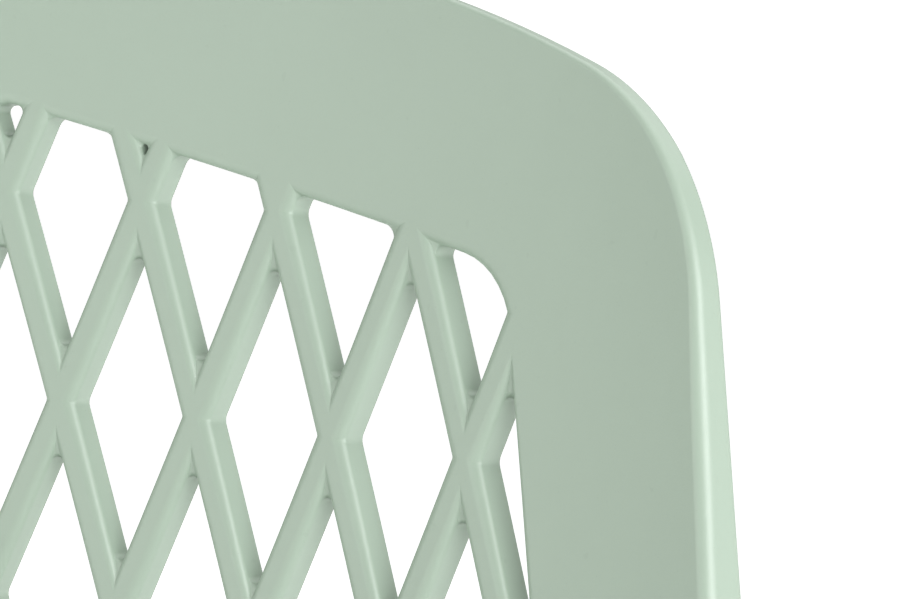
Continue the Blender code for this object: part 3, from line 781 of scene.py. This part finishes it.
def seat_outline():
    front, rear = SEAT_FRONT_HALF, SEAT_REAR_HALF
    corners = [(-front, 0.0), (front, 0.0), (rear, SEAT_LENGTH), (-rear, SEAT_LENGTH)]
    radii = [SEAT_FRONT_CORNER_R] * 2 + [SEAT_REAR_CORNER_R] * 2
    return subdivided(rounded(corners, lambda i, turn: radii[i], 16), OUTLINE_PIECE)


def seat_field(grow):
    low = SEAT_OPEN_FRONT - grow
    high = SEAT_LENGTH - SEAT_OPEN_REAR + grow
    half = SEAT_OPEN_HALF + grow
    field = [(-half, low), (half, low), (half, high), (-half, high)]
    return rounded(field, lambda i, turn: OPEN_CORNER_R + grow, CORNER_STEPS)


def make_seat():
    field = seat_field(0)
    middle = (SEAT_OPEN_FRONT + SEAT_LENGTH - SEAT_OPEN_REAR) / 2
    step = subdivided(seat_field(RIM_STEP), STEP_PIECE)
    return soft_panel(
        "lattice_seat", seat_outline(), lattice(field, middle), step,
        seat_point, lambda u, v: SEAT_DEPTH, lambda u, v: OUTER_EDGE_R,
    )


# ---- round pieces
class Skin:
    """Collects lofted shapes into one smooth mesh."""

    def __init__(self):
        self.coords = []
        self.faces = []

    def loft(self, rings, closed=False):
        first, count, total = len(self.coords), len(rings[0]), len(rings)
        for ring in rings:
            self.coords += [Vector(p) for p in ring]
        for k in range(total if closed else total - 1):
            a, b = first + k * count, first + (k + 1) % total * count
            for i in range(count):
                j = (i + 1) % count
                self.faces.append([a + i, a + j, b + j, b + i])
        if not closed:
            self.faces.append([first + i for i in range(count)][::-1])
            self.faces.append([first + (total - 1) * count + i for i in range(count)])
        return self

    def turned(self, start, axis, profile, sides=()):
        """Rings from (distance along the axis, radius) pairs. Those in sides are hexagons."""
        axis = Vector(axis).normalized()
        rings = []
        for k, (along, radius) in enumerate(profile):
            six = k in sides
            rings.append(ring(Vector(start) + axis * along, axis, radius, six))
        return self.loft(rings)

    def finish(self, name):
        mesh = bpy.data.meshes.new(name)
        mesh.from_pydata(self.coords, [], self.faces)
        shape = bmesh.new()
        shape.from_mesh(mesh)
        bmesh.ops.recalc_face_normals(shape, faces=shape.faces)
        shape.to_mesh(mesh)
        shape.free()
        mesh.shade_smooth()
        mesh.set_sharp_from_angle(angle=SHARP_ANGLE)
        return linked(name, mesh)


def spin_basis(axis):
    axis = Vector(axis).normalized()
    side = axis.cross(Vector((0, 1, 0)))
    if side.length < 0.3:
        side = axis.cross(Vector((1, 0, 0)))
    side.normalize()
    return side, axis.cross(side).normalized()


def ring(centre, axis, radius, six=False):
    side, other = spin_basis(axis)
    out = []
    for i, spoke in enumerate(spokes(side, other, AROUND)):
        a = 2 * math.pi * i / AROUND
        reach = radius
        if six:
            reach = radius * math.cos(math.pi / 6) / math.cos(a % (math.pi / 3) - math.pi / 6)
        out.append(centre + reach * spoke)
    return out


def bent_path(start, corner, end, radius):
    back, ahead = (start - corner).normalized(), (end - corner).normalized()
    half = back.angle(ahead) / 2
    run = radius / math.tan(half)
    centre = corner + (back + ahead).normalized() * radius / math.sin(half)
    first, last = corner + back * run - centre, corner + ahead * run - centre
    sweep = first.angle(last)
    normal = first.cross(last).normalized()
    turns = [Matrix.Rotation(sweep * k / BEND_STEPS, 3, normal) for k in range(BEND_STEPS + 1)]
    return [start] + [centre + turn @ first for turn in turns] + [end]


def tube_rings(path, radius, around=AROUND):
    """Rings square to the path, each carried on from the one before without twist."""
    rings = []
    side = spin_basis(path[1] - path[0])[0]
    for i, here in enumerate(path):
        along = (path[min(i + 1, len(path) - 1)] - path[max(i - 1, 0)]).normalized()
        side = (side - along * side.dot(along)).normalized()
        loop = spokes(side, along.cross(side), around)
        rings.append([here + radius * spoke for spoke in loop])
    return rings


def mirrored(point, side):
    return Vector((point[0] * side, point[1], point[2]))


def coped(loop, inwards, path):
    """The end ring of a tube, cut to lie on the tube that it meets."""
    segments = list(zip(path, path[1:]))
    out = []
    for point in loop:
        low, high = -0.030, 0.0
        for _ in range(22):
            t = (low + high) / 2
            if distance(point + inwards * t, segments) > TUBE_R + GAP:
                low = t
            else:
                high = t
        out.append(point + inwards * low)
    return out


def weld(skin, loop):
    """A rippled weld bead along a closed loop."""
    centre = sum(loop, Vector()) / len(loop)
    rings = []
    for i, here in enumerate(loop):
        along = (loop[(i + 1) % len(loop)] - loop[i - 1]).normalized()
        out = here - centre
        out = (out - along * out.dot(along)).normalized()
        radius = WELD_R * (1 + WELD_RIPPLE * math.cos(math.pi * i / 2))
        bead = spokes(out, along.cross(out), WELD_SIDES)
        rings.append([here + radius * spoke for spoke in bead])
    skin.loft(rings, closed=True)


# ---- frame
def rail_corner():
    return seat_flat(FRONT_HALF, RAIL_LENGTH, 0)


def upright_path(side):
    return bent_path(*(mirrored(p, side) for p in upright_corners()), KNEE_R)


def rail_path(side):
    corner = rail_corner()
    foot = leg_at(corner, LEG_END, -FRONT_RAKE)
    return bent_path(*(mirrored(p, side) for p in (RAIL_START, corner, foot)), FRONT_BEND_R)


def make_upright(side):
    return Skin().loft(tube_rings(upright_path(side), TUBE_R))


def make_front_leg(side):
    skin = Skin()
    path = rail_path(side)
    rings = tube_rings(path, TUBE_R)
    end = coped(rings[0], (path[0] - path[1]).normalized(), upright_path(side))
    start = path[0] + (path[1] - path[0]).normalized() * WELD_CLEAR
    skin.loft([end, tube_rings([start, path[1]], TUBE_R)[0]] + rings[1:])
    weld(skin, end)
    return skin


def make_cross_rail(ahead):
    skin = Skin()
    ends = [seat_flat(side * rail_x(ahead), ahead, 0) for side in (-1, 1)]
    rings = tube_rings(ends, TUBE_R)
    across = (ends[1] - ends[0]).normalized()
    first = coped(rings[0], -across, rail_path(-1))
    last = coped(rings[1], across, rail_path(1))
    inner = [ends[0] + across * WELD_CLEAR, ends[1] - across * WELD_CLEAR]
    skin.loft([first] + tube_rings(inner, TUBE_R) + [last])
    weld(skin, first)
    weld(skin, last)
    return skin


def tab_places():
    front, rear = FRONT_CROSS - TAB_REACH, REAR_CROSS + TAB_REACH
    return [(-TAB_X, front), (TAB_X, front), (-TAB_X, rear), (TAB_X, rear)]


def make_tab(x, ahead, cross):
    """A flat tab with rounded free corners, welded along the cross rail."""
    way = math.copysign(1, ahead - cross)
    near, far = cross + way * (TUBE_R - 0.0002), ahead + way * TAB_PAST_BOSS
    half = TAB_WIDTH / 2
    outline = [(-half, near), (half, near), (half, far), (-half, far)]
    skin = Skin()
    rings = []
    low = TAB_TOP - TAB_THICK
    for up, shrink in (
        (low, TAB_EDGE), (low + TAB_EDGE, 0), (TAB_TOP - TAB_EDGE, 0), (TAB_TOP, TAB_EDGE)
    ):
        loop = []
        for u, v in outline:
            loop.append((u - math.copysign(shrink, u), v - way * (shrink if v == far else 0)))
        loop = rounded(loop, lambda i, turn: TAB_CORNER_R if i > 1 else 0, 12)
        rings.append([seat_flat(x + u, v, up) for u, v in loop])
    skin.loft(rings)
    bead = [seat_flat(x + u, near, TAB_TOP) for u in (-half + 0.002 * i for i in range(14))]
    skin.loft(tube_rings([b for b in bead if abs(b.x - x) <= half], WELD_R, WELD_SIDES))
    return skin


# ---- small parts
UP = seat_flat(0, 0, 1) - seat_flat(0, 0, 0)


def make_bosses():
    """Screw bosses under the seat, flared where they join it."""
    skin = Skin()
    for x, ahead in tab_places():
        height = TUBE_R + SEAT_REST - TAB_TOP - GAP
        profile = [
            (0, SCREW_R + GAP), (0, BOSS_R - 0.0005), (0.0005, BOSS_R),
            (height - 0.0032, BOSS_R + 0.0002), (height - 0.0014, BOSS_R + 0.0008),
            (height + 0.0004, BOSS_R + 0.0026),
        ]
        skin.turned(seat_flat(x, ahead, TAB_TOP + GAP), UP, profile)
    return skin


def make_seat_screw(x, ahead):
    """A button-head screw with a hexagon socket."""
    base = TAB_TOP - TAB_THICK - GAP - HEAD_DEPTH
    length = TUBE_R + SEAT_REST + SEAT_DEPTH / 2 - base
    profile = [
        (0.0016, 0.0001), (0.0016, 0.0019), (0.0002, 0.0019), (0.0000, 0.0024),
        (0.0003, 0.0033), (0.0009, 0.004), (0.0017, HEAD_R), (HEAD_DEPTH - 0.0001, HEAD_R),
        (HEAD_DEPTH, HEAD_R - 0.0002), (HEAD_DEPTH, SCREW_R), (length, SCREW_R),
    ]
    return Skin().turned(seat_flat(x, ahead, base), UP, profile, sides=(0, 1, 2))


def back_screw_line(side):
    start = mirrored(back_point(stile_u(BACK_SCREW_V), BACK_SCREW_V, -SOCKET_DEPTH), side)
    end = mirrored(back_point(stile_u(BACK_SCREW_V), BACK_SCREW_V, -2 * SOCKET_DEPTH), side)
    return start, (end - start).normalized()


def make_back_cap(side):
    start, rear = back_screw_line(side)
    profile = [
        (0.0163, 0.0045), (0.0164, 0.0047), (0.0176, 0.0047), (0.018, 0.0044),
        (0.0183, 0.0038), (0.0184, 0.003), (0.01845, 0.0012),
    ]
    return Skin().turned(start, rear, profile)


def socket_ring(centre, along, radius, side):
    """A ring of the socket, kept inside the thickness of the back where it meets it."""
    out = []
    for point in ring(centre, along, radius):
        flat = mirrored(point, side)
        ahead = BACK_RADIUS - math.hypot(flat.x, BACK_RADIUS - sitter_way(flat))
        out.append(point + sitter(flat, side) * min(0.0, -SOCKET_SUNK - ahead))
    return out


def sitter_way(point):
    """How far the point is ahead of the middle of the back's face."""
    offset = point - Vector((0, BACK_Y, BACK_Z))
    return -offset.y * math.cos(RECLINE) + offset.z * math.sin(RECLINE)


def sitter(point, side):
    """The direction from the back's face towards the sitter, beside the point."""
    a = math.atan2(point.x, BACK_RADIUS - sitter_way(point))
    out = Vector((-math.sin(a), -math.cos(a) * math.cos(RECLINE), math.cos(a) * math.sin(RECLINE)))
    return mirrored(out, side)


def make_sockets():
    """The two sleeves behind the stiles that take the uprights, each with its screw pad."""
    skin = Skin()
    top = upright_corners()[0]
    low = back_point(stile_u(BACK_BOTTOM), BACK_BOTTOM, -SOCKET_DEPTH)
    for side in (1, -1):
        start, end = mirrored(top, side), mirrored(low, side)
        along = (end - start).normalized()
        length = (end - start).length
        profile = [(-0.0160, 0.0020)]
        for a in quarter(8)[1:]:
            profile.append((-0.003 - 0.013 * math.cos(a), SOCKET_R * math.sin(a)))
        profile += [
            (length - 0.0012, SOCKET_R), (length - 0.0004, SOCKET_R - 0.0003),
            (length, SOCKET_R - 0.001), (length, TUBE_R + GAP), (length - 0.02, TUBE_R + GAP),
        ]
        skin.loft([socket_ring(start + along * t, along, radius, side) for t, radius in profile])
        place, rear = back_screw_line(side)
        pad = [
            (0.01, 0.012), (0.0112, 0.0098), (0.0128, 0.0086), (0.017, 0.0083),
            (0.0177, 0.008), (0.018, 0.0074), (0.018, 0.0055), (0.0178, 0.0051),
            (0.0174, 0.005), (0.0137, 0.005),
        ]
        skin.turned(place, rear, pad)
    return skin


def leg_axis(corner, rake, side):
    return mirrored(Vector((SPLAY, rake, -1)).normalized(), side)


def make_glide(corner, rake, side):
    """A moulded foot, flat on the floor, whose collar takes the end of the leg."""
    end = mirrored(leg_at(corner, LEG_END, rake), side)
    along = leg_axis(corner, rake, side)
    floor = end + along * (end.z / -along.z)
    flat = [Vector((p.x, p.y, 0)).normalized() for p in spokes(*spin_basis(along), AROUND)]

    def level_ring(height, radius):
        return [floor + Vector((0, 0, height)) + spoke * radius for spoke in flat]

    collar = [
        (-0.022, 0.0066), (GAP, TUBE_R - TUBE_WALL - 2 * GAP), (GAP, TUBE_R - 0.0005),
        (GAP + 0.0005, TUBE_R), (GAP + 0.0022, TUBE_R + 0.0001), (GAP + 0.0024, TUBE_R - 0.0004),
        (GAP + 0.0032, TUBE_R - 0.0004), (GAP + 0.0036, TUBE_R + 0.0003),
    ]
    foot = [
        (0.0044, 0.0004), (0.0036, 0), (0.0014, 0), (0.0006, 0.0004), (0.0001, 0.001), (0, 0.0016)
    ]
    rings = [ring(end + along * down, along, radius) for down, radius in collar]
    rings += [level_ring(height, GLIDE_R - less) for height, less in foot]
    return Skin().loft(rings)


def make_bumper(corner, rake, side, drop):
    """A soft saddle with three raised ribs, where the next chair of a stack leans."""
    start = mirrored(leg_at(corner, corner.z - drop, rake), side)
    along = leg_axis(corner, rake, side)
    out = Vector((0, rake, 0))
    out = (out - along * out.dot(along)).normalized()
    other = along.cross(out)
    inner, outer = TUBE_R + GAP, TUBE_R + GAP + BUMPER_THICK
    slides = [(0, 0.0012), (0.0004, 0.0006), (0.0012, 0.0002)]
    for i in range(3):
        middle = BUMPER_LENGTH * (i + 1) / 4
        for away, less in ((-0.0030, 0.0004), (-0.0022, 0), (0.0022, 0), (0.0030, 0.0004)):
            slides.append((middle + away, less))
    slides += [(BUMPER_LENGTH - s, less) for s, less in slides[2::-1]]
    rings = []
    for slide, less in slides:
        loop = []
        for radius, order in ((inner, 1), (outer - less, -1)):
            for i in range(33):
                a = math.radians(105) * (i / 16 - 1) * order
                thin = 0.0
                if radius != inner:
                    thin = (radius - inner) * 0.6 * max(0.0, abs(i / 16 - 1) - 0.8) / 0.2
                spoke = math.cos(a) * out + math.sin(a) * other
                loop.append(start + along * slide + spoke * (radius - thin))
        rings.append(loop)
    return Skin().loft(rings)


# ---- materials
def put(socket, value):
    """value is a number, a colour or the output of another node."""
    if isinstance(value, bpy.types.NodeSocket):
        socket.id_data.links.new(value, socket)
    else:
        socket.default_value = (*value, 1.0) if isinstance(value, tuple) else value


def added(tree, kind, **inputs):
    """A new node with its inputs set. In their names, _ stands for a space."""
    node = tree.nodes.new("ShaderNode" + kind)
    for name, value in inputs.items():
        put(node.inputs[name.replace("_", " ")], value)
    return node


def new_material(name, roughness, metallic=0.0):
    made = bpy.data.materials.new(name)
    made.use_nodes = True
    shader = made.node_tree.nodes["Principled BSDF"]
    put(shader.inputs["Roughness"], roughness)
    put(shader.inputs["Metallic"], metallic)
    coords = added(made.node_tree, "TexCoord").outputs["Object"]
    return made, made.node_tree, shader, coords


def finished(shader, tone, roughness, normal):
    put(shader.inputs["Base Color"], tone)
    put(shader.inputs["Roughness"], roughness)
    put(shader.inputs["Normal"], normal)


def noise(tree, coords, scale, detail=3.0, rough=0.55):
    node = added(tree, "TexNoise", Vector=coords, Scale=scale, Detail=detail, Roughness=rough)
    return node.outputs["Fac"]


def ramp(tree, value, *stops):
    node = added(tree, "ValToRGB", Fac=value)
    for element, (position, colour) in zip(node.color_ramp.elements, stops):
        element.position = position
        element.color = (*colour, 1.0)
    return node.outputs["Color"]


def mix(tree, factor, a, b, blend="MIX"):
    node = added(tree, "Mix")
    node.data_type = "RGBA"
    node.blend_type = blend
    for index, value in ((0, factor), (6, a), (7, b)):
        put(node.inputs[index], value)
    return node.outputs[2]


def product(tree, a, b):
    node = added(tree, "Math")
    node.operation = "MULTIPLY"
    put(node.inputs[0], a)
    put(node.inputs[1], b)
    return node.outputs[0]


def scaled(tree, value, low, high):
    return added(tree, "MapRange", Value=value, To_Min=low, To_Max=high).outputs["Result"]


def bump(tree, height, strength, distance, **under):
    node = added(tree, "Bump", Height=height, Strength=strength, Distance=distance, **under)
    return node.outputs["Normal"]


def tinted(colour, factor):
    return tuple(c * factor for c in colour)


def moulded_plastic(name, colour, roughness):
    """Polypropylene: fine spark texture, slow drift of tone, a few specks and rubbed edges."""
    made, tree, shader, coords = new_material(name, roughness)
    drift = noise(tree, coords, 9.0, 2.0)
    tone = ramp(tree, drift, (0.3, tinted(colour, 0.965)), (0.7, tinted(colour, 1.035)))
    fleck = noise(tree, coords, 2600.0, 1.0)
    flecked = ramp(tree, fleck, (0.70, WHITE), (0.80, tinted(WHITE, 0.90)))
    base = mix(tree, 1.0, tone, flecked, "MULTIPLY")
    specks = ramp(tree, noise(tree, coords, 420.0, 0.0), (0.835, BLACK), (0.85, WHITE))
    base = mix(tree, scaled(tree, specks, 0.0, 0.10), base, tinted(colour, 0.6))
    edge = added(tree, "Attribute")
    edge.attribute_name = "edge"
    rub = scaled(tree, noise(tree, coords, 60.0, 4.0), 0.0, 0.22)
    worn = product(tree, edge.outputs["Fac"], rub)
    base = mix(tree, worn, base, tinted(colour, 1.35))
    grain = noise(tree, coords, 1500.0, 2.0)
    gloss = scaled(tree, grain, roughness - 0.06, roughness + 0.08)
    wave = bump(tree, noise(tree, coords, 55.0, 1.0), 0.06, 0.002)
    finished(shader, base, gloss, bump(tree, grain, 0.12, 0.0002, Normal=wave))
    put(shader.inputs["Specular IOR Level"], 0.9)
    return made


def powder_coat(name, colour, roughness):
    """Satin powder coat: orange peel, slow drift of tone and small rubbed spots."""
    made, tree, shader, coords = new_material(name, roughness)
    drift = noise(tree, coords, 14.0, 3.0)
    tone = ramp(tree, drift, (0.3, tinted(colour, 0.95)), (0.7, tinted(colour, 1.05)))
    scuff = noise(tree, coords, 38.0, 6.0, 0.7)
    scuffs = ramp(tree, scuff, (0.70, BLACK), (0.78, WHITE))
    base = mix(tree, scaled(tree, scuffs, 0.0, 0.25), tone, tinted(colour, 0.75))
    gloss = scaled(tree, scuff, roughness - 0.06, roughness + 0.10)
    peel = noise(tree, coords, 420.0, 2.0)
    finished(shader, base, gloss, bump(tree, peel, 0.10, 0.0005))
    return made


def dark_rubber(name, colour, roughness):
    """Rubber or nylon with a fine grain and some dust."""
    made, tree, shader, coords = new_material(name, roughness)
    dust = noise(tree, coords, 90.0, 5.0, 0.65)
    tone = ramp(tree, dust, (0.40, colour), (0.75, tinted(colour, 1.9)))
    gloss = scaled(tree, dust, roughness - 0.08, roughness + 0.12)
    grain = noise(tree, coords, 1100.0, 2.0)
    finished(shader, tone, gloss, bump(tree, grain, 0.18, 0.0003))
    return made


def zinc_steel(name, colour, roughness):
    """Plated steel with a small spangle."""
    made, tree, shader, coords = new_material(name, roughness, 1.0)
    spangle = noise(tree, coords, 700.0, 3.0)
    tone = ramp(tree, spangle, (0.3, tinted(colour, 0.82)), (0.7, tinted(colour, 1.1)))
    gloss = scaled(tree, spangle, roughness - 0.08, roughness + 0.12)
    finished(shader, tone, gloss, bump(tree, spangle, 0.08, 0.0002))
    return made


def finish_with(obj, material):
    obj.data.materials.clear()
    obj.data.materials.append(material)


PLASTIC = moulded_plastic("sage_moulding", SAGE, 0.42)
PAINT = powder_coat("sage_coat", SAGE_PAINT, 0.38)
RUBBER = dark_rubber("dark_rubber", DARK, 0.62)
NYLON = dark_rubber("dark_nylon", DARK, 0.44)
STEEL = zinc_steel("zinc", ZINC, 0.34)


# ---- scene
def area_light(name, place, target, size, power, colour=WHITE):
    data = bpy.data.lights.new(name, "AREA")
    data.shape = "RECTANGLE"
    data.size, data.size_y = size
    data.energy = power
    data.color = colour
    obj = linked(name, data)
    obj.location = place
    obj.rotation_euler = (Vector(target) - Vector(place)).to_track_quat("-Z", "Y").to_euler()


def studio():
    world = bpy.data.worlds.new("studio")
    bpy.context.scene.world = world
    world.use_nodes = True
    tree = world.node_tree
    background = tree.nodes["Background"]
    put(background.inputs["Color"], WHITE)
    put(background.inputs["Strength"], WORLD_STRENGTH)
    seen = added(tree, "Background", Color=WHITE, Strength=BACKDROP_STRENGTH)
    either = added(tree, "MixShader", Fac=added(tree, "LightPath").outputs["Is Camera Ray"])
    put(either.inputs[1], background.outputs[0])
    put(either.inputs[2], seen.outputs[0])
    put(tree.nodes["World Output"].inputs["Surface"], either.outputs[0])
    focus = back_point(0.12, 0.0, 0.0)
    area_light("key", (1.20, -0.64, 1.12), focus, (1.0, 1.1), KEY_POWER, (0.985, 0.985, 1.0))
    area_light("side", (2.15, 0.78, 0.95), focus, (1.2, 1.4), SIDE_POWER, (0.97, 0.89, 0.98))
    area_light("fill", (-1.5, -1.0, 1.05), focus, (1.6, 1.6), FILL_POWER, (1.0, 0.99, 0.98))
    area_light("top", (0.1, 0.80, 2.1), (0, 0, 0.5), (2.0, 2.0), TOP_POWER)
    view = bpy.context.scene.view_settings
    view.view_transform = "Standard"
    view.look = "None"


def floor():
    mesh = bpy.data.meshes.new("floor")
    shape = bmesh.new()
    bmesh.ops.create_grid(shape, x_segments=8, y_segments=8, size=FLOOR_HALF)
    shape.to_mesh(mesh)
    shape.free()
    obj = linked("floor", mesh)
    made, tree, shader, coords = new_material("floor", 0.9)
    paper = noise(tree, coords, 3.0)
    tone = ramp(tree, paper, (0.3, tinted(WHITE, 0.93)), (0.7, tinted(WHITE, 0.95)))
    put(shader.inputs["Base Color"], tone)
    put(shader.inputs["Emission Color"], WHITE)
    away = added(tree, "VectorMath")
    away.operation = "LENGTH"
    put(away.inputs[0], coords)
    glow = added(
        tree, "MapRange", Value=away.outputs["Value"], From_Min=FLOOR_NEAR, From_Max=FLOOR_FAR,
        To_Min=FLOOR_GLOW_NEAR, To_Max=FLOOR_GLOW_FAR,
    )
    put(shader.inputs["Emission Strength"], glow.outputs["Result"])
    finish_with(obj, made)


def camera():
    data = bpy.data.cameras.new("camera")
    data.lens = LENS
    data.sensor_width = SENSOR
    data.clip_start = CLIP_START
    obj = linked("camera", data)
    behind = Vector((
        math.sin(AZIMUTH) * math.cos(ELEVATION),
        -math.cos(AZIMUTH) * math.cos(ELEVATION),
        math.sin(ELEVATION),
    ))
    right = Vector((math.cos(AZIMUTH), math.sin(AZIMUTH), 0))
    up = behind.cross(right)
    turn = Matrix((right, up, behind)).transposed().to_4x4()
    obj.matrix_world = Matrix.Translation(back_point(0, 0, 0) + CAMERA_FROM_BACK) @ turn
    bpy.context.scene.camera = obj


def show(obj, material, slot, *nodes):
    """Gives a piece its finish, hangs it under the root body and hides the CAD nodes that it stands
    for.
    """
    finish_with(obj, material)
    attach(obj, "root")
    if nodes:
        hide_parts(*nodes)


def make_side(side, tag):
    knee, corner = upright_corners()[1], rail_corner()
    for name, skin in (("upright_", make_upright(side)), ("front_leg_", make_front_leg(side))):
        show(skin.finish("smooth_" + name + tag), PAINT, "sage_powder_coat", name + tag)
    name = "back_screw_cap_" + tag
    show(make_back_cap(side).finish("smooth_" + name), PLASTIC, "sage_plastic", name)
    for end, start, rake, drop in (
        ("front_", corner, -FRONT_RAKE, FRONT_BUMPER_DROP),
        ("rear_", knee, REAR_RAKE, REAR_BUMPER_DROP),
    ):
        name = "glide_" + end + tag
        show(make_glide(start, rake, side).finish("smooth_" + name), NYLON, "glide_plastic", name)
        name = "stack_bumper_" + end + tag
        bumper = make_bumper(start, rake, side, drop)
        show(bumper.finish("ribbed_" + name), RUBBER, "bumper_rubber", name)


def make_seat_fixings():
    for i, (x, ahead) in enumerate(tab_places()):
        tag = ("front" if i < 2 else "rear") + ("_left" if x < 0 else "_right")
        cross = FRONT_CROSS if i < 2 else REAR_CROSS
        tab = make_tab(x, ahead, cross).finish("welded_tab_" + tag)
        show(tab, PAINT, "sage_powder_coat", "seat_tab_" + tag)
        screw = make_seat_screw(x, ahead).finish("socket_screw_" + tag)
        show(screw, STEEL, "zinc_steel", "seat_screw_" + tag)


def build():
    for tag in ("left", "right"):
        finish_with(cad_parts["back_screw_" + tag], STEEL)
    show(make_back(), PLASTIC, "sage_plastic", "backrest")
    show(make_seat(), PLASTIC, "sage_plastic", "seat")
    show(make_sockets().finish("back_sockets"), PLASTIC, "sage_plastic")
    show(make_bosses().finish("seat_bosses"), PLASTIC, "sage_plastic")
    make_side(-1, "left")
    make_side(1, "right")
    for name, ahead in (("cross_rail_front", FRONT_CROSS), ("cross_rail_rear", REAR_CROSS)):
        rail = make_cross_rail(ahead).finish("welded_" + name)
        show(rail, PAINT, "sage_powder_coat", name)
    make_seat_fixings()
    studio()
    floor()
    camera()


build()
